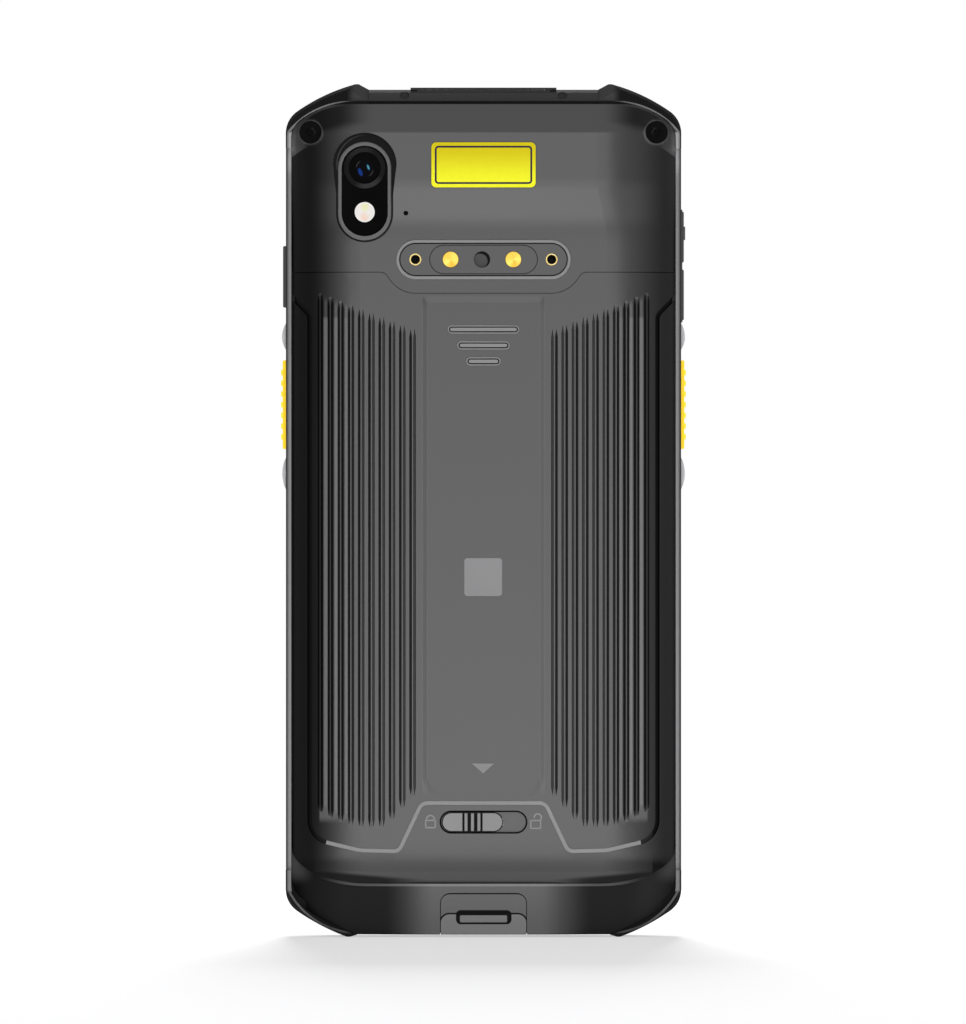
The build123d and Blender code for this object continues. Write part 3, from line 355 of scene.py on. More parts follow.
def coverTone(body, x, y, z):
    # painted light on the rib tops as the cover rounds away and on the raised pad's slopes, painted shade in
    # the grooves and slots
    wide, depth = x.size(), coverDepth(x, y)
    side = wide.ramp(*recess["sideX"])
    wall = depth.ramp(*recess["wallDepth"]) * (1 - depth.ramp(*recess["floorDepth"]) * (1 - side))
    dark = wall * (side * (recess["full"] - recess["shade"]) + recess["shade"])
    dark = dark.greater(wall * wide.ramp(*recess["lastX"]))
    dark = dark * slotReach(x, z, latchSlot["centre"], latchSlot["size"]).ramp(*latchSlot["slotEdge"])
    for slotZ, slotWide in padSlots["places"]:
        inside = slotReach(x, z, (0.0, slotZ), (slotWide, padSlots["tall"])).ramp(*padSlots["slotEdge"])
        dark = dark.greater(inside * depth.ramp(*padSlots["slotDepth"]))
    phase = ((innerWallLight["firstX"] - wide) / innerWallLight["pitch"] + 0.5).fraction()
    inner = wall * phase.ramp(*innerWallLight["phase"]) * wide.ramp(*innerWallLight["farX"]) * innerWallLight["share"]
    inner = inner * wide.ramp(*innerWallLight["nearX"]) * z.ramp(*innerWallLight["footZ"])
    tops = wide.ramp(*ribTopLight["nearX"]) * wide.ramp(*ribTopLight["lastX"]) * depth.ramp(*ribTopLight["topDepth"])
    tops = tops * z.ramp(*ribTopLight["footZ"]) * z.ramp(*ribTopLight["headZ"])
    toned = tops.tint(inner.tint(sideShadeAndLight(body, x), innerWallLight["colour"]), ribTopLight["colour"])
    slope = (wide - padSlopeLight["x"]).within(*padSlopeLight["sideLine"])
    slope = slope * z.ramp(*padSlopeLight["footZ"]) * z.ramp(*padSlopeLight["topZ"])
    head = (z - padSlopeLight["z"]).within(*padSlopeLight["headLine"]) * wide.ramp(*padSlopeLight["headX"])
    toned = slope.greater(head * padSlopeLight["headShare"]).tint(toned, padSlopeLight["colour"])
    return dark.blend(toned, seamAndShadeBlack), 1 - dark


flapFace = dict(  # the flap and the anchor above it, in mm about the middle of their foot
    half=8.45, flapTop=4.6, flapCorner=1.8, anchorTop=8.5, anchorCorner=1.9,
    insideEdge=(-0.17, -0.13), outsideEdge=(0.17, 0.13), faceY=(-4.0, -4.5), colour=(70, 70, 71),
    slot=((0.05, 3.90), (10.76, 2.72), 0.9), slotEdge=(0.05, -0.02),
    bar=((0.0, 3.58), (9.17, 1.36), 0.25), barEdge=(0.05, -0.05))


def flapReach(x, z, top, radius):  # distance outside a flap's outline, which is open at its foot
    return frameReach(x, z, (0.0, 0.0), (2 * flapFace["half"], 2 * top), radius)


def flapTone(body, x, y, z):  # a shade lighter than the shell; black along the seam, and painted shade round the slot's bar
    facing = y.ramp(*flapFace["faceY"])
    slot = frameReach(x, z, *flapFace["slot"]).ramp(*flapFace["slotEdge"])
    bar = frameReach(x, z, *flapFace["bar"]).ramp(*flapFace["barEdge"])
    seam = flapReach(x, z, flapFace["flapTop"], flapFace["flapCorner"]).ramp(*flapFace["insideEdge"])
    dark = (slot * (1 - bar)).greater(seam) * facing
    return dark.blend(facing.tint(body, flapFace["colour"]), seamAndShadeBlack), 1 - dark


def anchorTone(body, x, y, z):  # black along the seams and the flap's edge below, and painted shade in the grip slot
    outer = flapReach(x, z, flapFace["anchorTop"], flapFace["anchorCorner"]).ramp(*flapFace["insideEdge"])
    inner = flapReach(x, z, flapFace["flapTop"], flapFace["flapCorner"]).ramp(*flapFace["outsideEdge"])
    slot = frameReach(x, z, *flapFace["slot"]).ramp(*flapFace["slotEdge"])
    dark = outer.greater(inner).greater(slot) * y.ramp(*flapFace["faceY"])
    return dark.blend(body, seamAndShadeBlack), 1 - dark


frameTrim = dict(  # painted highlights and painted light on the frame's side rails and the corner bumpers, in mm
    railX=37.725, railLine=(0.425, 0.06), lipY=(-1.0, -1.3), lipZ=(11.0, 14.0), lip=(130, 130, 131),
    brightZ=(147.5, 150.5), bright=(158, 158, 159), blackZ=(13.0, 11.0), black=(12, 12, 13),
    upperCentre=(25.6, 146.52), upperRadius=16.0, lowerCentre=(24.4, 15.9), lowerRadius=15.15,
    arcLine=(0.17, 0.08), arcX=(24.5, 28.0), arc=(118, 118, 119), lowerShare=0.5, halfwayZ=(82.0, 84.0),
    facingY=(-1.0, -2.0), railTopZ=(156.9, 156.3), railFootZ=(8.6, 9.2),
    insideEdge=(-0.1, -0.3), inside=(50, 50, 51),
    crestX=(26.8, 24.8), crestZ=(162.5, 162.8), crest=(62, 62, 63))


def railLip(x):
    return (x.size() - frameTrim["railX"]).within(*frameTrim["railLine"])


def frameTone(body, x, y, z):  # a painted highlight along each side rail's lip, brighter at the top; the foot is black
    lip = railLip(x) * y.ramp(*frameTrim["lipY"]) * z.ramp(*frameTrim["lipZ"])
    pale = z.ramp(*frameTrim["brightZ"]).tint(paint(*frameTrim["lip"]), frameTrim["bright"])
    return lip.blend(z.ramp(*frameTrim["blackZ"]).tint(body, frameTrim["black"]), pale), 1 - lip


def bumperTone(body, x, y, z):
    # painted highlights: a light arc parallel to each corner and the rail's lip running into it; painted
    # light inside the arc and on the crest at the top
    wide, facing = x.size(), y.ramp(*frameTrim["facingY"])
    high = z.ramp(*frameTrim["halfwayZ"])
    upper = spotReach(wide, z, frameTrim["upperCentre"]) - frameTrim["upperRadius"]
    lower = spotReach(wide, z, frameTrim["lowerCentre"]) - frameTrim["lowerRadius"]
    away = high * upper + (1 - high) * lower
    straight = z.ramp(*frameTrim["railTopZ"]) * z.ramp(*frameTrim["railFootZ"])
    arc = away.within(*frameTrim["arcLine"]) * wide.ramp(*frameTrim["arcX"]) * (1 - straight) * facing
    arc = arc * (high * (1 - frameTrim["lowerShare"]) + frameTrim["lowerShare"])
    inside = away.ramp(*frameTrim["insideEdge"]) * high * facing
    crest = wide.ramp(*frameTrim["crestX"]) * z.ramp(*frameTrim["crestZ"])
    toned = crest.tint(inside.tint(body, frameTrim["inside"]), frameTrim["crest"])
    pale = high.tint(paint(*frameTrim["arc"]), frameTrim["bright"])
    return (railLip(x) * straight * facing).blend(arc.tint(toned, frameTrim["arc"]), pale), 1.0


socket = dict(radius=0.80, lobes=6, depth=0.08, flankLine=(0.08, 0.08), litAngle=2.7, lit=(44, 44, 44))


def screwTone(body, x, y, z):  # a six-lobed socket: radius plus a cosine of the angle, lit on its inner flank
    across, along = x.size() - corner["screw"][0], z - corner["screw"][1]
    angle = across.angle(along)
    away = across.reach(along) - (angle * socket["lobes"]).cosine() * socket["depth"] - socket["radius"]
    flank = away.within(*socket["flankLine"]) * (angle - socket["litAngle"]).cosine().ramp(0.0, 1.0)
    return flank.tint(body, socket["lit"]), 1.0


contactPlate = dict(
    centre=(0.0, 131.8), size=(34.0, 7.7), rimEdge=(-0.62, -0.58), rim=(135, 135, 136),
    groove=-0.72, grooveLine=(0.10, 0.03), carrierSize=(20.8, 5.4), carrierEdge=(0.16, 0.13),
    dimple=(-0.3, 131.8), dimpleEdge=(1.63, 1.57), dimpleColour=(77, 77, 78),
    lit=(-0.66, 131.5), litEdge=(1.5, 1.38))


def plateTone(body, x, y, z):  # a pale rim, a black line, then the field up to the line round the carrier
    reach = slotReach(x, z, contactPlate["centre"], contactPlate["size"])
    rim = reach.ramp(*contactPlate["rimEdge"])
    carrier = slotReach(x, z, contactPlate["centre"], contactPlate["carrierSize"])
    line = (reach - contactPlate["groove"]).within(*contactPlate["grooveLine"])
    line = line.greater(carrier.ramp(*contactPlate["carrierEdge"]))
    return line.blend(rim.tint(body, contactPlate["rim"]), seamAndShadeBlack), (1 - line) * (1 - rim)


def carrierTone(body, x, y, z):  # the dimple's bare floor, with a painted black shadow crescent up and to the right
    floor = spotReach(x, z, contactPlate["dimple"]).ramp(*contactPlate["dimpleEdge"])
    dark = floor * (1 - spotReach(x, z, contactPlate["lit"]).ramp(*contactPlate["litEdge"]))
    return dark.blend(floor.tint(body, contactPlate["dimpleColour"]), seamAndShadeBlack), 1 - floor


latchGrip = dict(middle=-2.15, pitch=1.25, ridgeHalf=0.27, reach=1.96, centre=(-2.15, 22.4), size=(11.9, 3.8),
                 rimEdge=(-0.21, -0.15))


def gripTone(body, x, y, z):  # painted shade: black between and beside the slider's three ridges, and round its edge
    away = (x - latchGrip["middle"]).size()
    ridges = away.lesser((away - latchGrip["pitch"]).size()).within(latchGrip["ridgeHalf"])
    rim = slotReach(x, z, latchGrip["centre"], latchGrip["size"]).ramp(*latchGrip["rimEdge"])
    lines = (away.within(latchGrip["reach"]) * (1 - ridges)).greater(rim)
    return lines.blend(body, paintedShadeBlack), 1 - lines


def plasticSurface(start, slot, tone, coat):  # colour and gloss drift with slow noise, over the mould's grain
    colour, roughness, specular, grain, height, mottle, *glow = plastics[slot]
    point, x, y, z = places(start)
    drift = noise(point, slowTone["scale"], slowTone["detail"])
    low, high = [(*[c * share for c in paint(*colour)[:3]], 1) for share in (1 - mottle, 1 + mottle)]
    body, coated = drift.blend(low, high), 1.0
    if tone:
        body, coated = tone(body, x, y, z)
    others = {"Normal": grainBump(point, grain, height)}
    # painted light: the glow makes the plastic shine in its own colour
    if glow:
        others.update({"Emission Color": body, "Emission Strength": glow[0]})
    if coat:
        others.update({"Coat Weight": coat(x, z) * coated, "Coat Roughness": lacquer["gloss"],
                       "Coat IOR": lacquer["index"]})
    rough = drift * slowTone["roughness"] + (roughness - slowTone["roughness"] / 2)
    return shading(start, body, rough, specular, others=others)


tonedPlastics = {  # a finish: its slot's plastic, its material's name, its tone, which mostly paints light and shade, and its coat
    "housing": ("housing", "housingLacquered", housingTone, backLacquer),
    "cover": ("cover", "coverLacquered", coverTone, backLacquer),
    "flap": ("flap", "flapLacquered", flapTone, backLacquer),
    "flapAnchor": ("flap", "flapAnchor", anchorTone, backLacquer),
    "contactPlate": ("housing", "contactPlate", plateTone, backLacquer),
    "contactCarrier": ("housing", "contactCarrier", carrierTone, backLacquer),
    "frame": ("frame", "frameLipHighlight", frameTone, None),
    "bumper": ("bumper", "bumperEdgeHighlight", bumperTone, None),
    "screw": ("screw", "screwSocket", screwTone, None),
    "latch": ("latch", "latchGrip", gripTone, None),
}
finishes = {slot: surfaceMaterial(slot, plasticSurface, slot, None, None)
            for slot in plastics if slot not in tonedPlastics}
for finish, (slot, name, tone, coat) in tonedPlastics.items():
    finishes[finish] = surfaceMaterial(name, plasticSurface, slot, tone, coat)


# label, camera and glass

labelFace = dict(
    centre=(0.0, 150.15), size=(20.4, 8.9), outerCorner=1.0, rimEdge=(-0.10, -0.04),
    printed=(18.56, 7.06), corner=0.55, printLine=(0.165, 0.04), ink=(26, 16, 52),
    yellowZ=(146.59, 154.155), bottom=(244, 243, 38), top=(210, 193, 0), wear=0.06, worn=(200, 185, 20))


def labelSurface(start):  # printed film: yellow that deepens upwards, with one dark line set in from its edge
    point, x, z = places(start, "XZ")
    line = frameReach(x, z, labelFace["centre"], labelFace["printed"], labelFace["corner"])
    edge = frameReach(x, z, labelFace["centre"], labelFace["size"], labelFace["outerCorner"])
    ink = line.within(*labelFace["printLine"]).greater(edge.ramp(*labelFace["rimEdge"]))
    film = z.ramp(*labelFace["yellowZ"]).tint(paint(*labelFace["bottom"]), labelFace["top"])
    wear = noise(point, 700.0, 3.0) * labelFace["wear"]
    colour = ink.tint(wear.tint(film, labelFace["worn"]), labelFace["ink"])
    bump = grainBump(point, 0.15, 0.0006)
    return shading(start, colour, wear + 0.42, specular=0.10, others={"Normal": bump})


lensFace = dict(
    centre=(-23.1, 149.45), glassEdge=(1.79, 1.69), barrel=(13, 13, 13), glass=(15, 15, 17),
    ring=1.66, ringLine=(0.05, 0.08), ringTurn=1.2, ringShare=(0.5, 1.0), ringColour=(58, 58, 58),
    barrelTurn=2.6, barrelShare=(-0.3, 1.0), barrelLow=(22, 22, 22), barrelHigh=(50, 50, 50),
    upperZ=(-1.0, 2.0), upperFade=0.6, tilt=22.0, blobFade=(1.25, 0.5),
    # painted reflections of the lens's coatings
    coatingReflections=[dict(at=(-0.85, -0.68), size=(0.38, 0.84), colour=(24, 54, 120)),
           dict(at=(0.70, 0.26), size=(0.28, 0.66), colour=(26, 60, 118)),
           dict(at=(0.70, 0.26), size=(0.18, 0.50), colour=(78, 152, 150))],
)


def lensPlaces(start):  # the point, and the steps across and along from the lens's centre
    point, x, z = places(start, "XZ")
    return point, x - lensFace["centre"][0], z - lensFace["centre"][1]


def lensSurface(start):  # black barrel, a faint ring of painted glints at the front element, and tilted coating reflections painted on it
    point, across, along = lensPlaces(start)
    reach = across.reach(along)
    colour = reach.ramp(*lensFace["glassEdge"]).tint(paint(*lensFace["barrel"]), lensFace["glass"])
    share = (across.angle(along) * 2 + lensFace["ringTurn"]).cosine().ramp(*lensFace["ringShare"])
    ring = (reach - lensFace["ring"]).within(*lensFace["ringLine"]) * share
    colour = ring.tint(colour, lensFace["ringColour"])
    turn = math.radians(lensFace["tilt"])
    for reflection in lensFace["coatingReflections"]:
        right, up = across - reflection["at"][0], along - reflection["at"][1]
        side = (right * math.cos(turn) + up * math.sin(turn)) / reflection["size"][0]
        rise = (up * math.cos(turn) - right * math.sin(turn)) / reflection["size"][1]
        colour = (side * side + rise * rise).ramp(*lensFace["blobFade"]).tint(colour, reflection["colour"])
    return shading(start, colour, noise(point, 300.0) * 0.02 + 0.08, specular=0.0)


def lensRingSurface(start):  # turned black ring with painted highlights at two opposite stretches, the lower one stronger
    point, across, along = lensPlaces(start)
    light = (across.angle(along) * 2 + lensFace["barrelTurn"]).cosine().ramp(*lensFace["barrelShare"])
    light = light * (1 - along.ramp(*lensFace["upperZ"]) * lensFace["upperFade"])
    colour = light.tint(paint(*lensFace["barrelLow"]), lensFace["barrelHigh"])
    return shading(start, colour, noise(point, 1500.0) * 0.1 + 0.4, specular=0.02)


flashFace = dict(
    centre=(-23.1, 141.0), rimEdge=(1.64, 1.94), rim=(240, 238, 236), milk=(232, 228, 224),
    spots=[dict(at=(-23.1, 141.95), fade=(1.15, 0.3), colour=(228, 230, 160)),
           dict(at=(-23.1, 140.05), fade=(1.2, 0.3), colour=(240, 208, 188))])


def flashSurface(start):  # milky lens: yellow phosphor above its middle, pinkish below, whiter at the rim
    point, x, z = places(start, "XZ")
    swirl = noise(point, 1400.0, 3.0) * 0.5 + 0.5
    colour = paint(*flashFace["milk"])
    for spot in flashFace["spots"]:
        colour = (spotReach(x, z, spot["at"]).ramp(*spot["fade"]) * swirl).tint(colour, spot["colour"])
    colour = spotReach(x, z, flashFace["centre"]).ramp(*flashFace["rimEdge"]).tint(colour, flashFace["rim"])
    return shading(start, colour, swirl * 0.1 + 0.3, specular=0.05)


def glassSurface(start, colour, specular, roughness):  # near-black glass with faint smears in its gloss
    smear = noise(objectPoint(start), 60.0)
    colour = smear.tint(paint(*colour), [c + 2 for c in colour])
    return shading(start, colour, smear * 0.03 + roughness, specular)


screen = dict(centre=(0.0, 82.0), size=(66.0, 140.0), corner=2.0, litEdge=(0.02, -0.02), lit=(13, 15, 19),
              border=(5, 5, 6))


def screenSurface(start):  # black printed border round the slightly bluer display, fine dust in the gloss
    point, x, z = places(start, "XZ")
    inside = frameReach(x, z, screen["centre"], screen["size"], screen["corner"]).ramp(*screen["litEdge"])
    colour = inside.tint(paint(*screen["border"]), screen["lit"])
    return shading(start, colour, noise(point, 40.0) * 0.04 + 0.06, specular=0.24)


# metals

def metalSurface(start, colour):  # cast or drawn metal: fine streaks in colour and gloss
    point = objectPoint(start)
    streaks = noise(point, 900.0, 3.0)
    colour = streaks.tint(paint(*[c * 0.94 for c in colour]), colour)
    bump = grainBump(point, 0.2, 0.001)
    return shading(start, colour, streaks * 0.10 + 0.28, metallic=1.0, others={"Normal": bump})


goldPads = dict(left=(-6.4, 131.8), apart=12.2, middleX=(-0.5, 0.5), rays=3, raySwirl=2.0, broadTurn=-0.8,
                rayShare=0.4, pale=(250, 224, 110), deep=(218, 174, 58), rimEdge=(1.44, 1.54),
                rim=(150, 105, 30))


def goldSurface(start):  # spun contact faces with a painted highlight: pale and deep rays round each pad's middle, darker at the edge
    point, x, z = places(start, "XZ")
    across = x - (x.ramp(*goldPads["middleX"]) * goldPads["apart"] + goldPads["left"][0])
    along = z - goldPads["left"][1]
    angle = across.angle(along)
    rays = (angle * goldPads["rays"] + noise(point, 500.0) * goldPads["raySwirl"]).cosine() * 0.5 + 0.5
    broad = (angle * 2 + goldPads["broadTurn"]).cosine() * 0.5 + 0.5
    light = rays * goldPads["rayShare"] + broad * (1 - goldPads["rayShare"])
    colour = light.tint(paint(*goldPads["deep"]), goldPads["pale"])
    colour = across.reach(along).ramp(*goldPads["rimEdge"]).tint(colour, goldPads["rim"])
    return shading(start, colour, rays * 0.1 + 0.45, specular=0.05, metallic=0.25)


insertHoles = dict(centres=[(-13.25, 131.8), (13.25, 131.8)], holeEdge=(0.94, 0.88), boreY=(-6.60, -6.45),
                   deep=(208, 184, 110), pale=(230, 208, 140), bore=(10, 10, 10))


def insertSurface(start):  # turned brass face, with painted shade: black inside the hole's edge and below the bore's mouth
    point, x, y, z = places(start)
    turned = noise(point, 1200.0)
    away = spotReach(x.size(), z, insertHoles["centres"][1])
    hole = away.ramp(*insertHoles["holeEdge"]).greater(y.ramp(*insertHoles["boreY"]))
    face = turned.tint(paint(*insertHoles["deep"]), insertHoles["pale"])
    colour = hole.tint(face, insertHoles["bore"])
    return shading(start, colour, turned * 0.1 + 0.40, specular=0.05, metallic=0.25)


meshCloth = dict(pitch=0.55, holeEdge=(0.36, 0.24), wire=(84, 85, 88), dark=(5, 5, 6))


def meshSurface(start):  # woven steel: a dark hole in the middle of every square of its pitch
    point, x, z = places(start, "XZ")
    across, along = [(place / meshCloth["pitch"]).fraction() - 0.5 for place in (x, z)]
    hole = across.reach(along).ramp(*meshCloth["holeEdge"])
    colour = hole.tint(paint(*meshCloth["wire"]), meshCloth["dark"])
    return shading(start, colour, noise(point, 900.0) * 0.1 + 0.4, specular=0.1, metallic=0.6)


surfaces = {  # a finish: its material's name, its surface function, and what that one takes
    "label": ("labelFilm", labelSurface), "flash": ("flash", flashSurface),
    "lens": ("lens", lensSurface), "lensRing": ("lensRing", lensRingSurface),
    "screen": ("screen", screenSurface), "mesh": ("wovenMesh", meshSurface),
    "cameraWindow": ("cameraWindow", glassSurface, (12, 12, 12), 0.0, 0.10),     # colour, specular, roughness
    "black_glass": ("blackGlass", glassSurface, (8, 8, 9), 0.10, 0.05),
    "lens_glass": ("lensGlass", glassSurface, (6, 8, 14), 0.20, 0.05),
    "panel": ("panel", glassSurface, (4, 4, 5), 0.10, 0.05),
    "board": ("board", glassSurface, (14, 60, 36), 0.40, 0.4),
    "alloy": ("alloy", metalSurface, (165, 166, 170)), "steel": ("steel", metalSurface, (150, 150, 152)),
    "gold": ("goldPlate", goldSurface), "insert": ("turnedInsert", insertSurface),
}
for finish, facts in surfaces.items():
    finishes[finish] = surfaceMaterial(*facts)

nodeFinishes = {  # nodes whose finish is more than their slot's own
    "camera_window": "cameraWindow", "camera_lens": "lens", "camera_lens_ring": "lensRing",
    "contact_plate": "contactPlate", "usb_flap_anchor": "flapAnchor",
    "contact_carrier": "contactCarrier", "cover_glass": "screen", "earpiece_mesh": "mesh",
}
for part in frame["record"]["subparts"]:
    mesh = nodes[part["node"]].data
    mesh.materials.clear()
    mesh.materials.append(finishes[nodeFinishes.get(part["node"], part["material_slot"])])
print("finishes: %d materials" % len(finishes))


# small pieces made here: each is a closed surface, worked out as rows of points

def closedSurface(name, rows, material, body, looped=False):
    # rows[i, j] is the point for step i along and j round, in mm; ends are capped unless the rows form a loop
    steps, around = rows.shape[:2]
    middle = rows.reshape(-1, 3).mean(axis=0)
    across = np.roll(rows, -1, axis=1) - rows
    along = (np.roll(rows, -1, axis=0) - rows)[:steps if looped else steps - 1]
    turned = np.einsum("ijk,ijk->", np.cross(across[:len(along)], along), (rows - middle)[:len(along)])
    if turned < 0:
        rows = rows[:, ::-1]
    index = np.arange(steps * around).reshape(steps, around)
    following = np.roll(index, -1, axis=0)
    quads = np.stack([index, np.roll(index, -1, axis=1), np.roll(following, -1, axis=1), following], axis=-1)
    faces = (quads if looped else quads[:-1]).reshape(-1, 4).tolist()
    if not looped:
        faces += [index[0][::-1].tolist(), index[-1].tolist()]
    mesh = bpy.data.meshes.new(name)
    mesh.from_pydata((rows.reshape(-1, 3) * mm).tolist(), [], faces)
    mesh.materials.append(material)
    piece = bpy.data.objects.new(name, mesh)
    bpy.context.scene.collection.objects.link(piece)
    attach(piece, body)


def coverSurface(name, rows, finish, looped=False):  # a small piece that moves with the battery cover
    closedSurface(name, rows, finishes[finish], "cover", looped)


def rounded(points, radii, steps=9):
    # a run of lines; each inner corner is a quadratic curve that starts before it and ends behind it
    points = np.array(points, float)
    runs = [points[:1]]
    share = np.linspace(0, 1, steps)[:, None]
    for before, corner, after, radius in zip(points[:-2], points[1:-1], points[2:], radii):
        behind = (before - corner) / np.linalg.norm(before - corner)
        ahead = (after - corner) / np.linalg.norm(after - corner)
        reach = radius / math.tan(math.acos(np.clip(behind @ ahead, -1, 1)) / 2)
        start, end = corner + behind * reach, corner + ahead * reach
        runs.append((1 - share) ** 2 * start + 2 * share * (1 - share) * corner + share ** 2 * end)
    return np.concatenate(runs + [points[-1:]])


def finePath(path, step=0.6):  # the same run with points no further apart than a step
    lengths = np.linalg.norm(np.diff(path, axis=0), axis=1)
    place = np.concatenate([[0], np.cumsum(lengths)])
    extra = np.arange(step, place[-1], step)
    every = np.unique(np.concatenate([place, extra]))
    return np.stack([np.interp(every, place, path[:, 0]), np.interp(every, place, path[:, 1])], axis=1)


def ribbon(path, width, low, high, looped=False, soft=0.04):
    # a bevelled bar carried along a path over the cover: point = path + side * offset, at surface + level
    ahead = np.roll(path, -1, axis=0) - path
    if not looped:
        ahead[-1] = ahead[-2]
    ahead /= np.linalg.norm(ahead, axis=1)[:, None]
    behind = np.roll(ahead, 1, axis=0)
    if not looped:
        behind[0] = ahead[0]
    normal = np.stack([-(ahead + behind)[:, 1], (ahead + behind)[:, 0]], axis=1)
    normal /= (1 + (ahead * behind).sum(axis=1))[:, None]
    half = width / 2
    profile = np.array([(-half, low), (half, low), (half, high + soft), (half - soft, high),
                        (soft - half, high), (-half, high + soft)])
    plan = path[:, None, :] + normal[:, None, :] * profile[None, :, :1]
    level = coverY(plan[..., 0], plan[..., 1]) + profile[None, :, 1]
    return np.stack([plan[..., 0], level, plan[..., 1]], axis=-1)


def plateRows(outline, low, high, soft=0.04):
    # a thin plate: its outline at the low level, at the high one less a bevel, and drawn in by it on top
    middle = outline.mean(axis=0)
    reach = np.linalg.norm(outline - middle, axis=1).max()
    inner = middle + (outline - middle) * (1 - soft / reach)
    plan = np.stack([outline, outline, inner])
    level = np.array([low, high + soft, high])[:, None] + coverY(plan[..., 0], plan[..., 1])
    return np.stack([plan[..., 0], level, plan[..., 1]], axis=-1)


def roundedBox(centre, size, corner, steps=6):  # outline: four quarter circles about the inner corners
    turn = np.linspace(0, np.pi / 2, steps)[None, :] + np.arange(4)[:, None] * np.pi / 2
    inner = np.array([(1, 1), (-1, 1), (-1, -1), (1, -1)]) * (np.array(size) / 2 - corner)
    points = (inner[:, None, :] + corner * np.stack([np.cos(turn), np.sin(turn)], axis=-1)).reshape(-1, 2)
    apart = np.linalg.norm(points - np.roll(points, 1, axis=0), axis=1) > 1e-6
    return points[apart] + np.array(centre)


def arcPath(centre, radius, first, last, steps=17):  # points on a circle between two angles in degrees
    turn = np.radians(np.linspace(first, last, steps))
    return np.array(centre) + radius * np.stack([np.cos(turn), np.sin(turn)], axis=1)


inlay = dict(  # painted highlight: a pale strip that fills the lower run of the cover's groove, in mm
    points=[(-30.6, 18.44), (-24.0, 16.9), (-16.46, 16.7), (-12.0, 26.1),
            (12.0, 26.1), (16.46, 16.7), (24.0, 16.9), (30.6, 18.44)],
    corners=[8.0, 1.8, 2.0, 2.0, 1.8, 8.0], width=0.80, low=0.30, high=0.06,
)
path = finePath(rounded(inlay["points"], inlay["corners"]))
coverSurface("grooveHighlightStrip", ribbon(path, inlay["width"], inlay["low"], inlay["high"]), "inlay")

# each slot: a light ring that is a painted highlight on its rim, and a pale fill
for number, (slotZ, slotWide) in enumerate(padSlots["places"], 1):
    outer = [side - padSlots["rim"] - padSlots["spare"] for side in (slotWide, padSlots["tall"])]
    ring = roundedBox((0, slotZ), outer, outer[1] / 2, 13)
    rim = ribbon(ring, padSlots["rim"], padSlots["low"], padSlots["rimHigh"], True)
    coverSurface("slotRim%d" % number, rim, "print", True)
    inner = [side - padSlots["rim"] - 2 * padSlots["gap"] for side in outer]
    fill = roundedBox((0, slotZ), inner, inner[1] / 2, 13)
    coverSurface("slotFill%d" % number, plateRows(fill, padSlots["low"], padSlots["fillHigh"]), "inlay")

marks = dict(  # raised marks on the cover, in mm: their levels, and the line width of the padlocks
    low=0.05, high=-0.07, padHigh=-0.13, line=0.32, boxCorner=0.06,
    arrow=[(-2.24, 33.8), (-0.08, 31.87), (2.08, 33.8)],
    patch=((-0.06, 70.05), (7.36, 7.36), 0.6),
    shutBox=((-10.32, 22.05), (1.86, 1.42)), shutArc=((-10.32, 22.95), 0.76),
    openBox=((10.15, 21.97), (1.90, 1.52)), openArc=((10.55, 23.30), 0.72),
)
arrow = finePath(np.array(marks["arrow"] + marks["arrow"][:1]))[:-1]
coverSurface("openingArrow", plateRows(arrow, marks["low"], marks["padHigh"]), "print")
coverSurface("touchPatch", plateRows(roundedBox(*marks["patch"]), marks["low"], marks["padHigh"]), "print")
for name, (boxCentre, boxSize), (arcCentre, arcRadius), turns in (
        ("lockShut", marks["shutBox"], marks["shutArc"], (0, 180)),
        ("lockOpen", marks["openBox"], marks["openArc"], (-35, 190))):
    box = roundedBox(boxCentre, boxSize, marks["boxCorner"], 3)
    bow = arcPath(arcCentre, arcRadius, *turns)
    coverSurface(name + "Body", ribbon(box, marks["line"], marks["low"], marks["high"], True), "print", True)
    coverSurface(name + "Bow", ribbon(bow, marks["line"], marks["low"], marks["high"]), "print")

# painted shade: a thin black ring round the latch slot where its gap lies in shadow
latchGapShade = dict(centre=(0.0, 22.4), size=(16.82, 4.22), width=0.30, low=0.10, high=-0.02)
ring = roundedBox(latchGapShade["centre"], latchGapShade["size"], latchGapShade["size"][1] / 2, 13)
coverSurface("latchGapShade", ribbon(ring, latchGapShade["width"], latchGapShade["low"], latchGapShade["high"], True),
             "seal", True)
print("cover: inlay, slots, marks and seal")


# battery pack's own label and end contacts

packLabel = dict(centre=(0.0, 66.0), size=(40.0, 52.0), corner=2.0, backY=-4.85, rise=0.05,
                 paper=(196, 197, 199), band=(58, 60, 64), bandLowZ=(83.0, 83.1), bandHighZ=(89.1, 89.0))
packContacts = dict(places=(-3.9, -1.3, 1.3, 3.9), size=(1.6, 1.8), corner=0.2, middleY=-1.4, endZ=121.5,
                    rise=0.05)


def packLabelSurface(start):  # pale paper with a dark band near its upper edge, and a fine fibre in its tone
    point, z = places(start, "Z")
    fibre = noise(point, 1500.0, 4.0)
    band = z.ramp(*packLabel["bandLowZ"]) * z.ramp(*packLabel["bandHighZ"])
    paper = fibre.tint(paint(*[c * 0.96 for c in packLabel["paper"]]), packLabel["paper"])
    return shading(start, band.tint(paper, packLabel["band"]), fibre * 0.1 + 0.5, specular=0.25,
                   others={"Normal": grainBump(point, 0.3, 0.001)})


def flatPlate(outline, lowY, highY, soft=0.03):  # an outline in plan at three levels, drawn in at the last
    middle = outline.mean(axis=0)
    inner = middle + (outline - middle) * (1 - soft / np.abs(outline - middle).max())
    plan = np.stack([outline, outline, inner])
    level = np.broadcast_to(np.array([lowY, highY + soft, highY])[:, None], plan.shape[:2])
    return np.stack([plan[..., 0], level, plan[..., 1]], axis=-1)


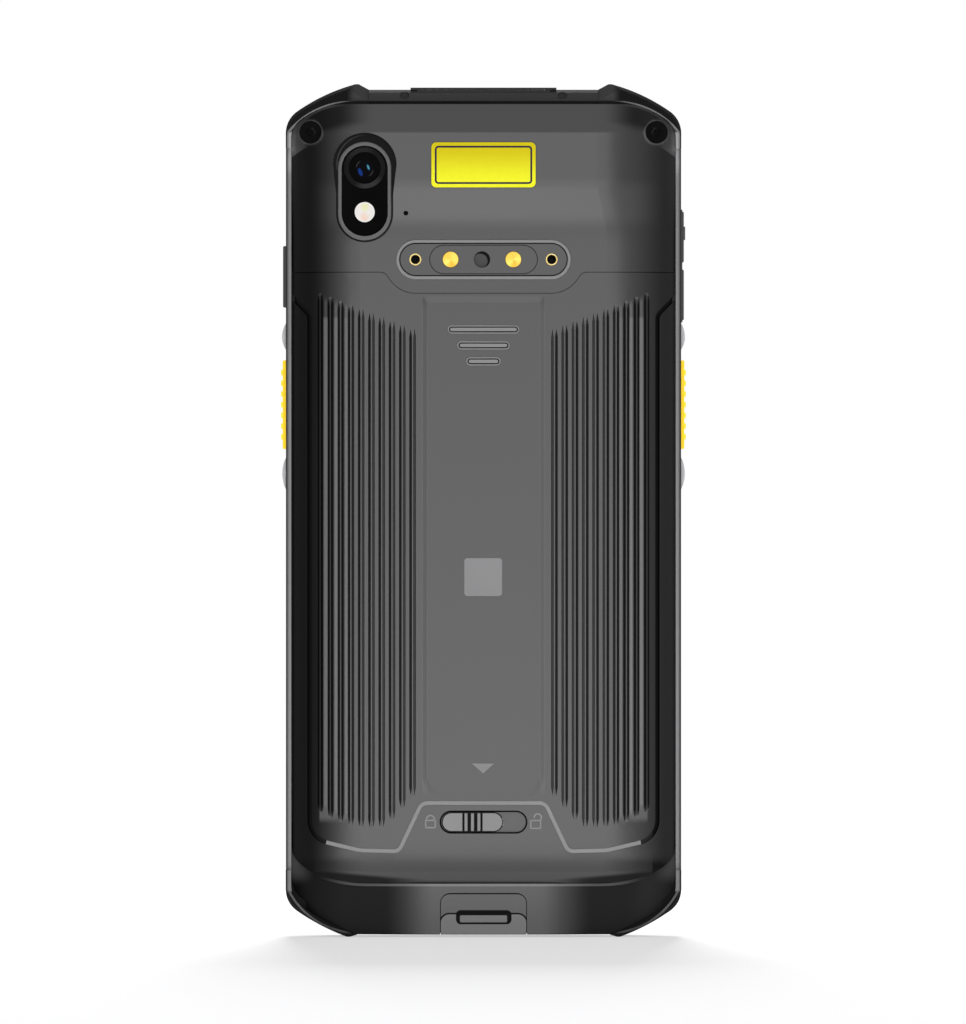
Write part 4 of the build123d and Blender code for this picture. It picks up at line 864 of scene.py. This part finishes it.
finishes["packLabel"] = surfaceMaterial("packLabel", packLabelSurface)
outline = roundedBox(packLabel["centre"], packLabel["size"], packLabel["corner"])
rows = flatPlate(outline, packLabel["backY"] + packLabel["rise"], packLabel["backY"] - packLabel["rise"])
closedSurface("packLabel", rows, finishes["packLabel"], "battery")
for number, placeX in enumerate(packContacts["places"], 1):
    outline = roundedBox((placeX, packContacts["middleY"]), packContacts["size"], packContacts["corner"])
    end, rise = packContacts["endZ"], packContacts["rise"]
    rows = flatPlate(outline, end - rise, end + rise)
    closedSurface("packContact%d" % number, rows[..., [0, 2, 1]], finishes["gold"], "battery")
print("battery pack: label and contacts")


# screw thread inside the two inserts

thread = dict(radius=0.82, depth=0.12, pitch=0.35, fromY=-6.3, turns=6, steps=24, taperTurn=1.5, taperEnd=0.1)


def threadRows(centre):  # a triangular ridge carried along a helix: radius less depth at its crest
    turn = np.linspace(0, thread["turns"] * 2 * np.pi, thread["turns"] * thread["steps"])
    along = thread["fromY"] + turn / (2 * np.pi) * thread["pitch"]
    taper = np.clip(np.minimum(turn, turn[-1] - turn) / thread["taperTurn"], thread["taperEnd"], 1)
    third = thread["pitch"] / 3
    profile = np.array([(0.0, -third), (-thread["depth"], 0.0), (0.0, third)])
    radius = thread["radius"] + profile[None, :, 0] * taper[:, None]
    level = along[:, None] + profile[None, :, 1] * taper[:, None]
    return np.stack([centre[0] + radius * np.cos(turn)[:, None], level,
                     centre[1] + radius * np.sin(turn)[:, None]], axis=-1)


for side, centre in zip(("Left", "Right"), insertHoles["centres"]):
    closedSurface("insertThread" + side, threadRows(centre), finishes["insert"], "terminal")
print("inserts: threads")


# floor, light and camera

studio = dict(
    white=1.0, fill=0.16,                       # background and ambient light
    floorFrom=(-0.6, -0.62), floorTo=(0.6, 0.30), floorColour=(200, 200, 202), floorGlow=0.50,
    cameraDistance=2.5, frameTall=0.19930, framePlane=-0.00425, frameCentre=(-0.0001, 0.0827),
    target=(0.0, 0.0, 0.083),                   # every lamp points here unless it has its own aim
)
lamps = {  # power in watts, width and height in metres, place, and the point it is turned to
    "keyLamp": dict(power=10.4, size=(0.55, 2.0), place=(0.03, -1.40, 0.28)),
    "wideLamp": dict(power=1.7, size=(1.5, 1.5), place=(0.05, -1.45, 0.5)),
    "tableLamp": dict(power=0.62, size=(0.12, 0.54), place=(0.0, -0.33, 0.002), aim=(0.0, -0.33, 1.0)),
    "footLamp": dict(power=0.029, size=(0.16, 0.056), place=(0.0, -0.0345, 0.0006),
                     aim=(0.0, -0.0345, 1.0)),
    "crestLamp": dict(power=1.6, size=(0.8, 0.6), place=(0.0, -0.75, 1.15)),
    "rightLamp": dict(power=1.3, size=(0.6, 0.9), place=(1.3, 0.1, 0.5)),
    "leftLamp": dict(power=0.8, size=(0.6, 0.9), place=(-1.3, 0.1, 0.5)),
    "backLamp": dict(power=27.0, size=(0.28, 0.9), place=(0.0, 1.2, 0.88)),
}


def shownRays(start):  # 1 for rays that see the background: straight, mirrored or through glass
    kinds = [start.node("ShaderNodeLightPath", output=kind) for kind in
             ("Is Camera Ray", "Is Glossy Ray", "Is Transmission Ray")]
    return (kinds[0] + kinds[1] + kinds[2]).lesser(1.0)


def makeWorld():
    world = bpy.data.worlds.new("studioWorld")
    bpy.context.scene.world = world
    world.use_nodes = True
    world.node_tree.nodes.clear()
    start = Signal(world.node_tree)
    strength = shownRays(start) * (studio["white"] - studio["fill"]) + studio["fill"]
    light = start.node("ShaderNodeBackground", None, {"Color": (1, 1, 1, 1), "Strength": strength})
    output = world.node_tree.nodes.new("ShaderNodeOutputWorld")
    world.node_tree.links.new(light.socket, output.inputs["Surface"])


def floorSurface(start):  # matt paper, and a glow for the rays that see the background
    glow = shownRays(start) * studio["floorGlow"]
    return start.node("ShaderNodeAddShader", None, {
        0: start.node("ShaderNodeBsdfDiffuse", None, {"Color": paint(*studio["floorColour"])}),
        1: start.node("ShaderNodeEmission", None, {"Color": (1, 1, 1, 1), "Strength": glow})})


def makeFloor():  # one flat sheet that the object stands on
    (left, near), (right, far) = studio["floorFrom"], studio["floorTo"]
    mesh = bpy.data.meshes.new("floor")
    mesh.from_pydata([(left, near, 0), (right, near, 0), (right, far, 0), (left, far, 0)], [], [(0, 1, 2, 3)])
    floor = bpy.data.objects.new("floor", mesh)
    bpy.context.scene.collection.objects.link(floor)
    mesh.materials.append(surfaceMaterial("floorPaper", floorSurface))


def makeLamp(name, power, size, place, aim=None):
    data = bpy.data.lights.new(name, "AREA")
    data.energy = power
    data.shape = "RECTANGLE"
    data.size, data.size_y = size
    lamp = bpy.data.objects.new(name, data)
    lamp.location = place
    way = np.array(aim or studio["target"]) - np.array(place)
    level = math.hypot(way[0], way[1])
    heading = math.atan2(way[1], way[0]) - math.pi / 2 if level > 1e-6 else 0.0
    lamp.rotation_euler = (math.atan2(level, -way[2]), 0.0, heading)
    lamp.visible_camera = False
    bpy.context.scene.collection.objects.link(lamp)


def makeCamera():
    data = bpy.data.cameras.new("camera")
    camera = bpy.data.objects.new("camera", data)
    distance = studio["cameraDistance"]
    data.sensor_width = 36.0
    data.lens = data.sensor_width * (distance + studio["framePlane"]) / studio["frameTall"]
    data.clip_end = 50.0
    camera.location = (studio["frameCentre"][0], -distance, studio["frameCentre"][1])
    camera.rotation_euler = (math.pi / 2, 0, 0)
    bpy.context.scene.collection.objects.link(camera)
    bpy.context.scene.camera = camera


makeWorld()
makeFloor()
for name, facts in lamps.items():
    makeLamp(name, **facts)
makeCamera()
bpy.context.scene.view_settings.view_transform = "Standard"
print("studio ready")
